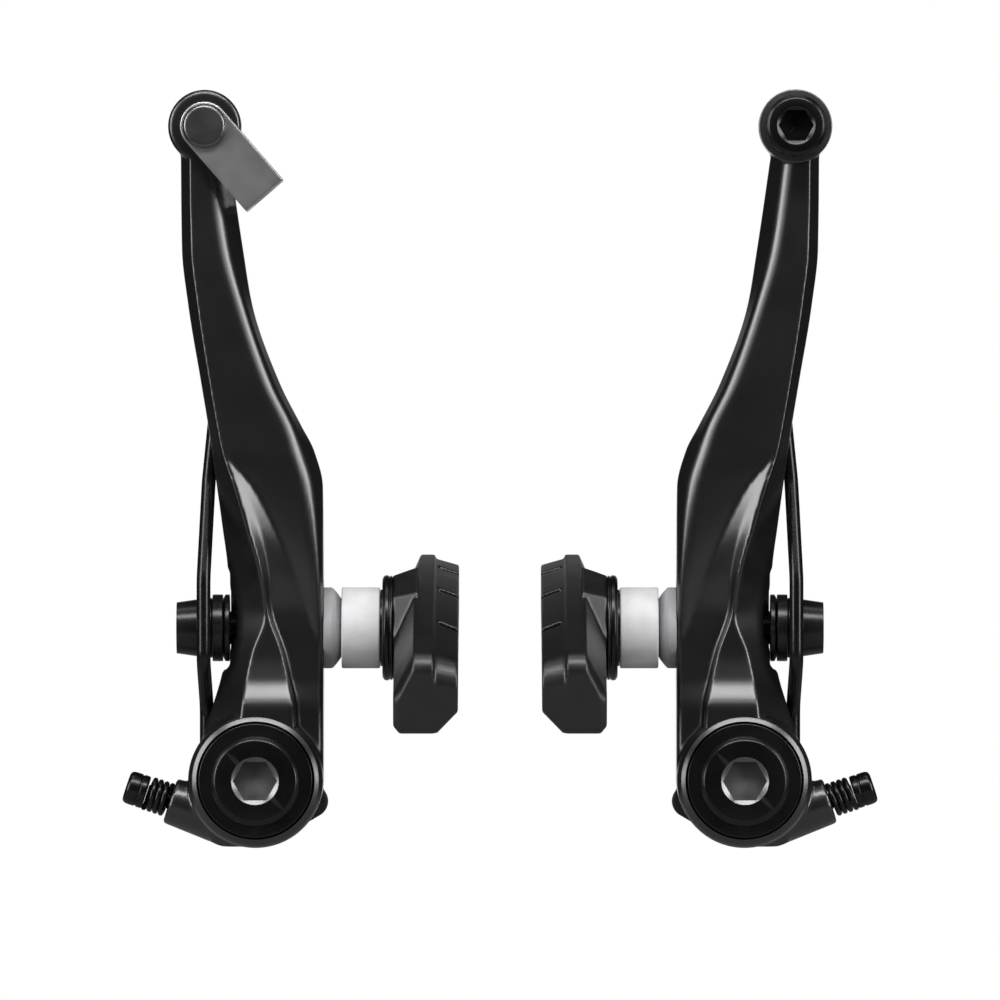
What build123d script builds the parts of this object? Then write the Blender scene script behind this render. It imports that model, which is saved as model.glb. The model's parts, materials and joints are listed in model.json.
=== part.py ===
from build123d import *
import os
from math import asin, atan, cos, degrees, pi, radians, sin, sqrt, tan

# Driving sizes, in millimetres and degrees.
# X runs to the viewer's right, Y to the rear, Z up.
# One side is made round its own pivot, with X towards the wheel, and then set in place.

# The frame's bosses, and the overshoot of cuts.
boss_spacing = 80.0
boss_radius = 4.0
hub_clearance = 0.1
sleeve_clearance = 0.3
boss_step = 6.0
sleeve_front = 17.0
over = 1.0

# The arm's barrel and its bores.
barrel_radius = 11.05
barrel_rear = 2.3
barrel_front = 18.2
barrel_front_bevel = 1.3
barrel_rear_round = 0.7
barrel_wall = 1.45
pocket_radius = barrel_radius - barrel_wall
pocket_floor = 9.0
sleeve_radius = 5.5
journal_clearance = 0.05
counterbore_floor = 16.9

# The arm's blade at a few heights. Edges and ridges count inward from the pivot,
# widths count outward from the blade's inner edge, and depths count forwards.
blade_heights = (0.0, 11.5, 16.9, 21.0, 27.0, 34.0, 42.0, 48.0, 56.0, 65.0, 78.0, 87.0, 104.0)
blade_outer = (-11.0, -7.35, -5.75, -4.95, -4.5, -4.65, -5.6, -6.4, -7.4, -8.95, -11.1, -12.1, -12.3)
blade_inner = 7 * (barrel_radius,) + (11.0, 8.6, 3.95, -0.6, -2.1, -4.6)
outer_ridge = (-2.6, -2.6, -1.6, 0.0, 1.7, 1.0, -0.8, -2.9, -5.8, -7.5, -9.4, -10.4, -10.7)
inner_ridge = (6.4, 6.3, 5.5, 4.1, 2.7, 1.6, -0.2, -2.3, -5.2, -6.9, -8.8, -9.8, -10.1)
panel_width = (2.05, 1.85, 1.45, 1.25, 2.35, 4.95, 8.85, 12.0, 13.2, 10.25, 7.6, 7.1, 4.8)
trough_width = (1.15, 1.05, 0.95, 0.85, 1.15, 1.65, 2.45, 3.8, 5.0, 4.75, 6.3, 5.7, 3.6)
brow_width = (0.45, 0.45, 0.45, 0.4, 0.45, 0.55, 0.85, 1.4, 2.0, 2.35, 2.4, 2.4, 2.0)
ridge_front = (17.6, 17.6, 15.2, 15.0, 15.0, 15.2, 15.8, 16.5, 17.5, 18.3, 18.4, 18.4, 18.4)
panel_front = (17.0, 16.6, 14.5, 14.2, 15.3, 16.4, 17.0, 17.4, 17.9, 18.4, 18.5, 18.5, 18.5)
side_front = (12.0, 11.6, 11.2, 11.0, 11.2, 11.8, 12.6, 13.2, 13.8, 14.4, 14.8, 14.8, 14.8)
blade_rear = (2.3, 2.3, 0.8, 0.6, 0.6, 3.5, 8.0, 10.5, 11.4, 11.5, 11.5, 11.5, 11.5)
brow_drop = (0.3, 0.3, 0.2, 0.2, 0.5, 0.8, 1.0, 1.0, 1.0, 1.0, 1.0, 1.0, 1.0)
corner_drop = (0.6, 0.6, 0.6, 0.6, 1.6, 2.6, 3.0, 3.0, 3.0, 3.0, 3.0, 3.0, 3.0)

# The arm's round head at the top.
head_x = -8.3
head_z = 107.0
head_radius = 6.0
head_front = 18.5
head_rear = 11.5

# The pad post's line, its slot in the blade and the flat seat of the outer washers.
post_y = -7.0
post_z = 24.9
slot_width = 7.8
slot_down = 1.0
slot_up = 4.0
outer_seat = -4.4
seat_margin = 1.0

# The spring adjuster on the barrel. Lengths run along its own line from its foot.
lug_foot_x = -2.46
lug_foot_z = -7.4
lug_rise = 18.4
lug_y = -6.6
lug_radius = 3.8
lug_root_radius = 4.4
lug_root = 3.0
lug_overhang = 1.35
lug_end = barrel_radius + lug_overhang
lug_end_round = 0.4
screw_radius = 1.5
screw_engagement = 3.9
screw_tip = lug_end - screw_engagement
screw_clearance = 0.05
screw_head_radius = 2.75
small_spring_room = 4.1
screw_head_start = lug_end + small_spring_room
screw_head_length = 3.5
screw_head_round = 0.9
screw_slot_width = 0.9
screw_slot_depth = 1.0
small_wire = 0.8
small_coil_radius = 2.45
small_coil_turns = 3.5

# The return spring: coil, tail and leg.
wire_radius = 1.15
wire_room = 0.7
coil_room = 0.3
coil_radius = pocket_radius - wire_radius - coil_room
coil_turns = 1.75
coil_start = 3.3
coil_end = 7.6
coil_pitch = (coil_end - coil_start) / coil_turns
coil_slope = atan(coil_pitch / (2 * pi * coil_radius))
tail_x = -1.9
tail_end = 0.3
tail_bend = 1.3
leg_rise = 12.0
leg_front = 9.2
leg_crossing = 14.4
leg_bow = 0.4
leg_bends = (
    (-coil_radius - leg_bow, -leg_crossing, 19.5),
    (-coil_radius - leg_bow, -leg_crossing, 33.0),
    (-7.8, -leg_front, 49.0),
)
leg_bend_radii = (5.0, 5.0, 8.0, 6.0, 1.6)
leg_x = -6.4
leg_reach = 63.0
leg_tip = 13.6
leg_hole_radius = 1.4
leg_hole_depth = 3.0
passage_height = 14.0
passage_offset = 0.5

# The stopper plate behind the arm, with its ear and pin.
plate_step = 0.25
plate_radius = barrel_radius - plate_step
plate_thickness = 2.0
ear_x = 9.0
ear_z = -3.7
ear_radius = 2.7
pin_radius = 1.4
pin_length = 3.5
pin_bevel = 0.4
tail_hole_clearance = 0.35

# The mounting bolt and its washer.
bolt_thread_radius = 3.0
bolt_end = 6.4
bolt_head_radius = 7.3
bolt_head_edge = 0.8
bolt_shoulder_radius = 6.2
bolt_shoulder_rise = 2.35
bolt_crown_radius = 4.1
bolt_head_rise = 3.1
hex_across_flats = 6.0
hex_depth = 2.5
washer_step = 1.7
washer_radius = barrel_radius - washer_step
washer_thickness = 1.4
washer_bevel = 0.3
washer_clearance = 0.2

# The pad post and the inner washers, from the blade's inner face towards the wheel.
post_radius = 3.0
convex_radius = 6.65
convex_thickness = 3.25
convex_end = barrel_radius + convex_thickness
convex_bore = 3.55
ball_depth = 8.3
ball_centre = convex_end - ball_depth
inner_ball = 9.27
ball_gap = 0.3
thick_overlap = 0.3
thick_length = 6.3
thick_start = convex_end - thick_overlap
thick_end = thick_start + thick_length
thick_bore = 3.2
thick_bevel = 0.3
shoulder_radius = 6.3
collar_radius = 8.65
shoulder_length = 0.4
collar_thickness = 1.65
collar_start = thick_end + shoulder_length
collar_end = collar_start + collar_thickness
collar_round = 0.4

# The outer washers and the nut, from the outer seat away from the wheel.
outer_washer_radius = 5.5
outer_convex_thickness = 1.35
outer_convex_end = outer_seat - outer_convex_thickness
outer_convex_bore = 3.75
outer_dome_rise = 2.0
outer_ball = ball_centre - outer_seat + outer_dome_rise
outer_stack = 2.8
outer_concave_end = outer_seat - outer_stack
nut_length = 5.9
nut_end = outer_concave_end - nut_length
nut_base_radius = 4.95
nut_tip_radius = 4.2
nut_tip_round = 0.5
nut_bore_depth = 4.3
nut_hex = 5.0
nut_hex_overlap = 0.5
post_inset = 2.2
post_tip = nut_end + post_inset
thread_gap = 0.05

# The brake pad: backing, boss round the flange, and friction block.
pad_tilt = 13.0
pad_arc_radius = 300.0
pad_near = 38.4
pad_far = 31.5
pad_half_height = 6.75
pad_end_round = 1.8
pad_back_step = 0.35
pad_back = collar_end + pad_back_step
pad_bevel_width = 3.3
pad_bevel_low = 0.1
pad_backing = 6.5
friction_depth = 4.0
pad_seam = pad_back + pad_backing
pad_face = pad_seam + friction_depth
pad_seam_step = 0.6
pad_face_draft = 1.75
pad_low_start = 0.5
pad_low_bevel = 3.7
pad_groove_width = 2.0
pad_groove_depth = 3.4
pad_grooves = (-18.9, 1.8, 20.5)
boss_side_count = 8
boss_turn = -3.5
boss_back_radius = 8.7
boss_flare = 4.25
boss_root = collar_end + boss_flare
boss_root_radius = 10.2

# The link on the left arm and its riveted pin.
link_plate = 1.5
link_gap = 0.3
link_length = 15.0
link_width = 8.0
link_lean = 41.0
link_slot = 4.6
link_pin_radius = 2.5
link_pin_head = 1.2

# The cable anchor on the right arm.
anchor_radius = 3.0
anchor_washer_radius = 6.0
anchor_washer_thickness = 1.2
anchor_head_radius = 5.0
anchor_head_length = 5.0
anchor_head_round = 0.8
anchor_hex = 5.0


def rod_y(radius, front, rear, x=0.0, z=0.0):
    """Round bar along Y between two depths, both counted forwards."""
    middle = -(front + rear) / 2
    return Pos(x, middle, z) * Rot(90, 0, 0) * Cylinder(radius, abs(front - rear))


def rod_x(radius, start, end, y=post_y, z=post_z):
    """Round bar along X between two positions."""
    return Pos((start + end) / 2, y, z) * Rot(0, 90, 0) * Cylinder(radius, abs(end - start))


def ball_curve(radius, side, start, end):
    """Arc round the point that the pad's washers turn about, between two distances from their line."""
    heights = (start, (start + end) / 2, end)
    points = [(ball_centre + side * sqrt(radius**2 - height**2), height) for height in heights]
    return ThreePointArc(*points)


def turned_x(*lines):
    """Solid turned about the pad post's line from the lines of half its section."""
    outline = lines[0]
    for line in lines[1:]:
        outline += line
    outline += Line(outline @ 1, outline @ 0)
    return Pos(0, post_y, post_z) * revolve(make_face(outline), axis=Axis.X)


def hex_prism(across_flats, depth):
    """Six-sided bar with two corners level, along its own Z from 0."""
    return extrude(RegularPolygon(across_flats / 2, 6, major_radius=False), depth)


def blade_section(index):
    """One level outline of the arm's blade."""
    front = ridge_front[index]
    side = side_front[index]
    rear = blade_rear[index]
    panel = panel_front[index]
    inner = blade_inner[index]
    points = (
        (blade_outer[index], -rear),
        (blade_outer[index], -side),
        (outer_ridge[index], -front),
        (inner_ridge[index], -front),
        (inner - panel_width[index], -panel),
        (inner - trough_width[index], -panel),
        (inner - brow_width[index], -panel + brow_drop[index]),
        (inner, -panel + corner_drop[index]),
        (inner, -rear),
    )
    outline = Polyline(*points, close=True)
    return Pos(0, 0, blade_heights[index]) * make_face(outline)


def lug_place(distance):
    """Place on the adjuster's line, with its own Z pointing outwards."""
    direction = Vector(-cos(radians(lug_rise)), 0, sin(radians(lug_rise)))
    foot = Vector(lug_foot_x, lug_y, lug_foot_z)
    return Location(Plane(foot + direction * distance, x_dir=(0, 1, 0), z_dir=direction))


def lug_rod(radius, start, end):
    """Round bar on the adjuster's line."""
    return lug_place((start + end) / 2) * Cylinder(radius, end - start)


def make_arm(with_link):
    """Forged arm: blade, head, barrel and adjuster lug in one piece."""
    blade = loft([blade_section(index) for index in range(len(blade_heights))], ruled=True)
    barrel = rod_y(barrel_radius, barrel_front, barrel_rear)
    barrel = chamfer(barrel.edges().sort_by(Axis.Y)[0], barrel_front_bevel)
    barrel = fillet(barrel.edges().sort_by(Axis.Y)[-1], barrel_rear_round)
    lug = lug_place((lug_root + lug_end) / 2) * Cone(lug_root_radius, lug_radius, lug_end - lug_root)
    lug = fillet(lug.edges().filter_by(GeomType.CIRCLE).sort_by(Axis.X)[0], lug_end_round)
    head = rod_y(head_radius, head_front, head_rear, head_x, head_z)
    body = blade + barrel + lug + head
    body -= rod_y(pocket_radius, pocket_floor, -over)
    body -= rod_y(pocket_radius, barrel_front + over, counterbore_floor)
    body -= rod_y(sleeve_radius + journal_clearance, barrel_front, 0)
    body -= leg_passage()
    body -= post_slot()
    body -= outer_seat_cut()
    body -= lug_rod(screw_radius + screw_clearance, lug_root, lug_end + over)
    body -= leg_hole()
    if with_link:
        body -= rod_y(link_pin_radius, head_front + over, head_rear - over, head_x, head_z)
    else:
        body -= rod_y(anchor_radius, head_front + over, head_rear - over, head_x, head_z)
    return body


def leg_passage():
    """Opening in the barrel's wall where the spring's leg comes out."""
    width = 2 * (wire_radius + wire_room)
    depth = pocket_floor + 2 * over
    centre_x = -coil_radius - passage_offset
    return Pos(centre_x, over - depth / 2, passage_height / 2) * Box(width, depth, passage_height)


def post_slot():
    """Slot through the blade for the pad post, long in Z."""
    travel = slot_up + slot_down
    outline = Plane.YZ * SlotOverall(slot_width + travel, slot_width, rotation=90)
    middle = post_z + (slot_up - slot_down) / 2
    return Pos(0, post_y, middle) * extrude(outline, 2 * barrel_radius, both=True)


def outer_seat_cut():
    """Flat seat for the outer washers, open to the rear."""
    radius = outer_washer_radius + seat_margin
    length = 2 * radius + slot_up + slot_down
    outline = SlotOverall(length, 2 * radius, rotation=90)
    open_side = Pos(radius, 0) * Rectangle(2 * radius, length)
    cut = Plane.YZ * (outline + open_side)
    middle = post_z + (slot_up - slot_down) / 2
    return Pos(outer_seat, post_y, middle) * extrude(cut, -barrel_radius)


def leg_hole():
    """Blind hole in the blade's rear face for the spring's tip."""
    rear = blade_rear[-1]
    return rod_y(leg_hole_radius, rear + leg_hole_depth, rear - leg_hole_depth, leg_x, leg_reach)


def make_sleeve():
    """Pivot sleeve that the arm turns on."""
    bore = boss_radius + sleeve_clearance
    outer = rod_y(sleeve_radius, sleeve_front, boss_step)
    return outer - rod_y(bore, sleeve_front + over, boss_step - over)


def make_stopper():
    """Stopper plate with its hub, ear and pin."""
    plate = rod_y(plate_radius, plate_thickness, 0)
    ear = rod_y(ear_radius, plate_thickness, 0, ear_x, ear_z)
    hub = rod_y(sleeve_radius, boss_step, 0)
    pin = rod_y(pin_radius, plate_thickness, -pin_length, ear_x, ear_z)
    pin = chamfer(pin.edges().sort_by(Axis.Y)[-1], pin_bevel)
    body = plate + ear + hub + pin
    body -= rod_y(boss_radius + hub_clearance, boss_step + over, -over)
    tail_hole = wire_radius + tail_hole_clearance
    body -= rod_y(tail_hole, plate_thickness + over, -over, tail_x, coil_radius)
    return body


def wire_sweep(path):
    """Round wire along a path."""
    start = path @ 0
    section = Plane(start, z_dir=path % 0) * Circle(wire_radius)
    return sweep(section, path=path)


def make_return_spring():
    """Coil round the hub, a tail in the stopper and a long leg up the arm."""
    helix = Helix(coil_pitch, coil_end - coil_start, coil_radius, lefthand=True)
    coil_path = Pos(0, -coil_start, 0) * Rot(90, 0, 0) * Rot(0, 0, 90) * helix
    coil = wire_sweep(coil_path)
    leg_path = FilletPolyline(
        (-coil_radius, -coil_end, 0),
        (-coil_radius, -coil_end - leg_rise * tan(coil_slope), leg_rise),
        *leg_bends,
        (leg_x, -leg_front, leg_reach),
        (leg_x, -leg_tip, leg_reach),
        radius=leg_bend_radii,
    )
    leg = wire_sweep(leg_path)
    tail_path = FilletPolyline(
        (0, -coil_start, coil_radius),
        (tail_x, -coil_start + tail_x * tan(coil_slope), coil_radius),
        (tail_x, -tail_end, coil_radius),
        radius=(tail_bend,),
    )
    return coil + leg + wire_sweep(tail_path)


def make_mounting_bolt():
    """Mounting bolt with a low round head and a hexagon socket."""
    seat = sleeve_front + washer_thickness
    edge = seat + bolt_head_edge
    top = seat + bolt_head_rise
    shoulder = seat + bolt_shoulder_rise
    outline = Polyline(
        (0, -bolt_end),
        (bolt_thread_radius, -bolt_end),
        (bolt_thread_radius, -seat),
        (bolt_head_radius, -seat),
        (bolt_head_radius, -edge),
    )
    dome = ThreePointArc(
        (bolt_head_radius, -edge), (bolt_shoulder_radius, -shoulder), (bolt_crown_radius, -top)
    )
    crown = Polyline((bolt_crown_radius, -top), (0, -top), (0, -bolt_end))
    body = revolve(make_face(outline + dome + crown), axis=Axis.Y)
    socket = Pos(0, -top + hex_depth, 0) * Rot(90, 0, 0) * hex_prism(hex_across_flats, hex_depth + over)
    return body - socket


def make_bolt_washer():
    """Plain washer under the bolt's head."""
    front = sleeve_front + washer_thickness
    washer = rod_y(washer_radius, front, sleeve_front)
    washer = chamfer(washer.edges().sort_by(Axis.Y)[0], washer_bevel)
    return washer - rod_y(bolt_thread_radius + washer_clearance, front + over, sleeve_front - over)


def make_adjuster_screw():
    """Adjuster screw with a slotted head."""
    end = screw_head_start + screw_head_length
    shank = lug_rod(screw_radius, screw_tip, screw_head_start)
    head = lug_rod(screw_head_radius, screw_head_start, end)
    head = fillet(head.edges().filter_by(GeomType.CIRCLE).sort_by(Axis.X)[0], screw_head_round)
    slot = Box(screw_slot_width, 3 * screw_head_radius, 2 * screw_slot_depth)
    return shank + head - lug_place(end) * slot


def make_adjuster_spring(lefthand):
    """Small coil spring between the lug and the screw's head."""
    length = screw_head_start - lug_end - small_wire
    pitch = length / small_coil_turns
    path = Helix(pitch, length, small_coil_radius, lefthand=lefthand)
    section = Plane(path @ 0, z_dir=path % 0) * RegularPolygon(small_wire / 2, 8)
    return lug_place(lug_end + small_wire / 2) * sweep(section, path=path, is_frenet=True)


def make_inner_convex_washer():
    """Domed washer on the blade's inner face."""
    end_radius = sqrt(inner_ball**2 - (convex_end - ball_centre) ** 2)
    dome = ball_curve(inner_ball, 1, convex_radius, end_radius)
    base = Polyline((barrel_radius, convex_bore), (barrel_radius, convex_radius), dome @ 0)
    return turned_x(base, dome, Line(dome @ 1, (convex_end, convex_bore)))


def make_inner_thick_washer():
    """Thick washer with a hollow seat for the dome."""
    radius = inner_ball + ball_gap
    rim = sqrt(radius**2 - (thick_start - ball_centre) ** 2)
    hollow = ball_curve(radius, 1, thick_bore, rim)
    body = Polyline(
        hollow @ 1,
        (thick_start, convex_radius - thick_bevel),
        (thick_start + thick_bevel, convex_radius),
        (thick_end - thick_bevel, convex_radius),
        (thick_end, convex_radius - thick_bevel),
        (thick_end, thick_bore),
    )
    return turned_x(hollow, body)


def make_outer_convex_washer():
    """Domed washer on the blade's outer seat."""
    end_radius = sqrt(outer_ball**2 - (outer_convex_end - ball_centre) ** 2)
    dome = ball_curve(outer_ball, -1, outer_washer_radius, end_radius)
    base = Polyline((outer_seat, outer_convex_bore), (outer_seat, outer_washer_radius), dome @ 0)
    return turned_x(base, dome, Line(dome @ 1, (outer_convex_end, outer_convex_bore)))


def make_outer_concave_washer():
    """Hollow washer between the domed one and the nut."""
    hollow = ball_curve(outer_ball + ball_gap, -1, thick_bore, outer_washer_radius)
    body = Polyline(
        hollow @ 1, (outer_concave_end, outer_washer_radius), (outer_concave_end, thick_bore)
    )
    return turned_x(hollow, body)


def make_pad_nut():
    """Tapered nut with a hexagon socket."""
    middle = (outer_concave_end + nut_end) / 2
    body = Rot(0, -90, 0) * Cone(nut_base_radius, nut_tip_radius, nut_length)
    body = Pos(middle, post_y, post_z) * body
    body = fillet(body.edges().filter_by(GeomType.CIRCLE).sort_by(Axis.X)[0], nut_tip_round)
    bore_end = outer_concave_end - nut_bore_depth
    body -= rod_x(post_radius + thread_gap, bore_end, outer_concave_end + over)
    socket = Rot(0, -90, 0) * hex_prism(nut_hex, nut_bore_depth)
    return body - Pos(bore_end + nut_hex_overlap, post_y, post_z) * socket


def make_pad_post():
    """Threaded post with its shoulder and round flange."""
    stem = rod_x(post_radius, post_tip, collar_start)
    shoulder = rod_x(shoulder_radius, thick_end, collar_start)
    flange = rod_x(collar_radius, collar_start, collar_end)
    flange = fillet(flange.edges().filter_by(GeomType.CIRCLE).sort_by(Axis.X)[0], collar_round)
    return stem + shoulder + flange


def pad_turned(*corners):
    """Part of the pad from its section, turned along the pad's curve."""
    near_angle = degrees(asin(pad_near / pad_arc_radius))
    far_angle = degrees(asin(pad_far / pad_arc_radius))
    section = Plane.XZ * make_face(Polyline(*corners, close=True))
    line = Axis((0, 0, -pad_arc_radius), (1, 0, 0))
    start = section.rotate(line, near_angle)
    return revolve(start, axis=line, revolution_arc=-near_angle - far_angle)


def pad_spot(height, along):
    """Place along the pad's curve at a height, seen from the wheel."""
    angle = asin(along / pad_arc_radius)
    radius = pad_arc_radius + height
    return (radius * sin(angle), radius * cos(angle) - pad_arc_radius)


def pad_ends():
    """Bar with the pad's outline seen from the wheel, for its rounded ends."""
    half = pad_half_height
    top = ThreePointArc(pad_spot(half, -pad_near), pad_spot(half, 0), pad_spot(half, pad_far))
    low = ThreePointArc(pad_spot(-half, pad_far), pad_spot(-half, 0), pad_spot(-half, -pad_near))
    outline = make_face(top + Line(top @ 1, low @ 0) + low + Line(low @ 1, top @ 0))
    return extrude(Plane.YZ * fillet(outline.vertices(), pad_end_round), 2 * pad_face)


def octagon_at(x, radius):
    """Eight-sided outline round the post."""
    return Plane.YZ.offset(x) * RegularPolygon(radius, boss_side_count, rotation=boss_turn)


def make_brake_pad():
    """Moulded pad: bevelled backing, eight-sided boss for the flange, grooved friction block."""
    half = pad_half_height
    backing = pad_turned(
        (pad_back, -half),
        (pad_back, pad_bevel_low),
        (pad_back + pad_bevel_width, half),
        (pad_seam, half),
        (pad_seam, -half),
    )
    friction = pad_turned(
        (pad_seam, -half),
        (pad_seam, half - pad_seam_step),
        (pad_face, half - pad_face_draft),
        (pad_face, -half + pad_low_bevel),
        (pad_seam + pad_low_start, -half),
    )
    boss = loft([octagon_at(collar_end, boss_back_radius), octagon_at(boss_root, boss_root_radius)])
    body = ((backing + friction) & pad_ends()) + boss
    for along in pad_grooves:
        drop = pad_arc_radius - sqrt(pad_arc_radius**2 - along**2)
        turn = degrees(asin(along / pad_arc_radius))
        groove = Box(2 * pad_groove_depth, pad_groove_width, 4 * half)
        body -= Pos(pad_face, along, -drop) * Rot(-turn, 0, 0) * groove
    return Pos(0, post_y, post_z) * Rot(pad_tilt, 0, 0) * body


def make_link():
    """Folded sheet link: two plates beside the arm's head and a slotted web."""
    inner_width = head_front - head_rear + 2 * link_gap
    outer_width = inner_width + 2 * link_plate
    eye = Cylinder(link_width / 2, outer_width)
    bar = Pos(0, -link_length / 2, 0) * Box(link_width, link_length, outer_width)
    space_length = link_length - link_plate + link_width
    space = Pos(0, link_width - space_length / 2, 0) * Box(link_width + over, space_length, inner_width)
    link = eye + bar - space
    link -= Cylinder(link_pin_radius + journal_clearance, outer_width + over)
    slot = Pos(link_width / 4, -link_length, 0) * Box(link_width / 2, 3 * link_plate, link_slot / 2)
    hole = Pos(0, -link_length, 0) * Rot(90, 0, 0) * Cylinder(link_slot / 2, 3 * link_plate)
    middle = -(head_front + head_rear) / 2
    return Pos(head_x, middle, head_z) * Rot(0, -link_lean, 0) * Rot(90, 0, 0) * (link - slot - hole)


def make_link_pin():
    """Riveted pin of the link."""
    reach = link_gap + link_plate
    front = head_front + reach
    rear = head_rear - reach
    radius = link_pin_radius + link_pin_head
    stem = rod_y(link_pin_radius, front, rear, head_x, head_z)
    front_head = rod_y(radius, front + link_pin_head, front, head_x, head_z)
    rear_head = rod_y(radius, rear, rear - link_pin_head, head_x, head_z)
    return stem + front_head + rear_head


def make_anchor_washer():
    """Washer that clamps the cable's wire."""
    front = head_front + anchor_washer_thickness
    disc = rod_y(anchor_washer_radius, front, head_front, head_x, head_z)
    hole = rod_y(anchor_radius + washer_clearance, front + over, head_front - over, head_x, head_z)
    return disc - hole


def make_anchor_bolt():
    """Anchor bolt with a hexagon socket."""
    seat = head_front + anchor_washer_thickness
    front = seat + anchor_head_length
    head = rod_y(anchor_head_radius, front, seat, head_x, head_z)
    head = fillet(head.edges().sort_by(Axis.Y)[0], anchor_head_round)
    stem = rod_y(anchor_radius, seat, head_rear, head_x, head_z)
    socket = Rot(90, 0, 0) * hex_prism(anchor_hex, hex_depth + over)
    return head + stem - Pos(head_x, -front + hex_depth, head_z) * socket


def place(shape, side):
    """Sets one side's piece at its boss, mirrored on the right."""
    if side == "right":
        return Pos(boss_spacing / 2, 0, 0) * mirror(shape, Plane.YZ)
    return Pos(-boss_spacing / 2, 0, 0) * shape


def save(name, shape):
    """Writes one piece."""
    shape.label = name
    export_step(shape, "parts/" + name + ".step")


os.makedirs("parts", exist_ok=True)

paired = {
    "pivot_sleeve": make_sleeve(),
    "spring_stopper": make_stopper(),
    "return_spring": make_return_spring(),
    "mounting_bolt": make_mounting_bolt(),
    "bolt_washer": make_bolt_washer(),
    "adjuster_screw": make_adjuster_screw(),
    "inner_convex_washer": make_inner_convex_washer(),
    "inner_thick_washer": make_inner_thick_washer(),
    "outer_convex_washer": make_outer_convex_washer(),
    "outer_concave_washer": make_outer_concave_washer(),
    "pad_nut": make_pad_nut(),
    "pad_post": make_pad_post(),
    "brake_pad": make_brake_pad(),
}
for side in ("left", "right"):
    for name, shape in paired.items():
        save(side + "_" + name, place(shape, side))
    save(side + "_arm", place(make_arm(side == "left"), side))
    save(side + "_adjuster_spring", place(make_adjuster_spring(side == "right"), side))
save("link", place(make_link(), "left"))
save("link_pin", place(make_link_pin(), "left"))
save("anchor_washer", place(make_anchor_washer(), "right"))
save("anchor_bolt", place(make_anchor_bolt(), "right"))
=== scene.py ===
# %% [markdown]
# # Dressing a pair of bicycle rim brake arms
# On the bicycle, two black forged arms stand on bosses beside the wheel. A cable pulls their tops
# together, so that the pads press on the rim. The frame holds that brake as solids, one node for
# each part, on the bodies that move. The solids are true to size, but they are coarse where they
# are round and they have no finish.
#
# They could be subdivided and shaded, but that softens edges that should stay crisp. So each part
# is made again here as a smooth mesh of the same size, by turning, lofting or sweeping it much as
# a workshop would. It then rides the body of the solid that it stands for.

# %% load the frame
import json
import math
import bpy
import bmesh
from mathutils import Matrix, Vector

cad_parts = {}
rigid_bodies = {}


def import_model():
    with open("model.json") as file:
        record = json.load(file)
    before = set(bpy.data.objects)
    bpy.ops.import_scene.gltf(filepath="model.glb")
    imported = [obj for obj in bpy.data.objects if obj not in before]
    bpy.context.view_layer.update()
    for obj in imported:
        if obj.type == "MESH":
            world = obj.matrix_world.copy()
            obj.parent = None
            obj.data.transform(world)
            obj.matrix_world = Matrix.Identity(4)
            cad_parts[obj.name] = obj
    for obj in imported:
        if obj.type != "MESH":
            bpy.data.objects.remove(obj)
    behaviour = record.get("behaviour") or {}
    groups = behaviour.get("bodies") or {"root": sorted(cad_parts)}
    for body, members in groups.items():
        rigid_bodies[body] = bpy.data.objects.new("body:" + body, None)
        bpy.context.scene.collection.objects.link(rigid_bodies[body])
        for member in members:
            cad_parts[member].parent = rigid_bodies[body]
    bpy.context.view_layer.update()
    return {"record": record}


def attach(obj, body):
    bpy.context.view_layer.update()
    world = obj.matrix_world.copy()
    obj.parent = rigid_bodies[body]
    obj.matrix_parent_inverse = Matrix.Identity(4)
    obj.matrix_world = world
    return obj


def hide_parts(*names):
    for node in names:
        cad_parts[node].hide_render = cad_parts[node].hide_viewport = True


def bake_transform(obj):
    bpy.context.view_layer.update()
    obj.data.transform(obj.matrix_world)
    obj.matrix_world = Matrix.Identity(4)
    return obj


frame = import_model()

MM = 0.001

# %% [markdown]
# ## From points to an object
# Every part below is a list of points and a list of faces. Blender could model them by hand as
# well, but points from a formula can be measured and changed. Turned and forged metal is smooth
# on its faces and crisp at its edges, so an edge is marked sharp where its faces meet steeply.

# %% points to objects
SHARP_ANGLE = 35.0


def shade(obj, angle):
    """Smooth faces, with edges kept sharp above an angle in degrees."""
    work = bmesh.new()
    work.from_mesh(obj.data)
    bmesh.ops.recalc_face_normals(work, faces=work.faces)
    for face in work.faces:
        face.smooth = True
    for edge in work.edges:
        if len(edge.link_faces) == 2:
            edge.smooth = edge.calc_face_angle(0.0) < math.radians(angle)
    work.to_mesh(obj.data)
    work.free()


def to_object(name, points, faces, sharp=SHARP_ANGLE):
    """Object from points in metres and faces."""
    mesh = bpy.data.meshes.new(name)
    mesh.from_pydata(points, [], faces)
    mesh.update()
    obj = bpy.data.objects.new(name, mesh)
    bpy.context.scene.collection.objects.link(obj)
    shade(obj, sharp)
    return obj


print("edges stay sharp above", SHARP_ANGLE, "degrees")

# %% [markdown]
# ## Camera
# The photograph looks straight at the front of the brake, with next to no perspective. An
# orthographic camera would do, but a long lens from far away keeps the last trace of depth. The
# lens follows from the picture's width and the camera's distance.

# %% camera
PICTURE_WIDTH = 0.16393
PICTURE_MIDDLE = (0.0, -0.012, 0.0459)
DISTANCE = 2.2
SENSOR = 36.0
camera_data = bpy.data.cameras.new("camera")
camera_data.sensor_width = SENSOR
camera_data.lens = SENSOR * DISTANCE / PICTURE_WIDTH
camera_data.clip_end = 20.0
camera = bpy.data.objects.new("camera", camera_data)
camera.location = (PICTURE_MIDDLE[0], PICTURE_MIDDLE[1] - DISTANCE, PICTURE_MIDDLE[2])
camera.rotation_euler = (math.pi / 2, 0.0, 0.0)
bpy.context.scene.collection.objects.link(camera)
bpy.context.scene.camera = camera
bpy.context.scene.view_settings.view_transform = "Standard"
print("lens", round(camera_data.lens, 1), "mm")

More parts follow.
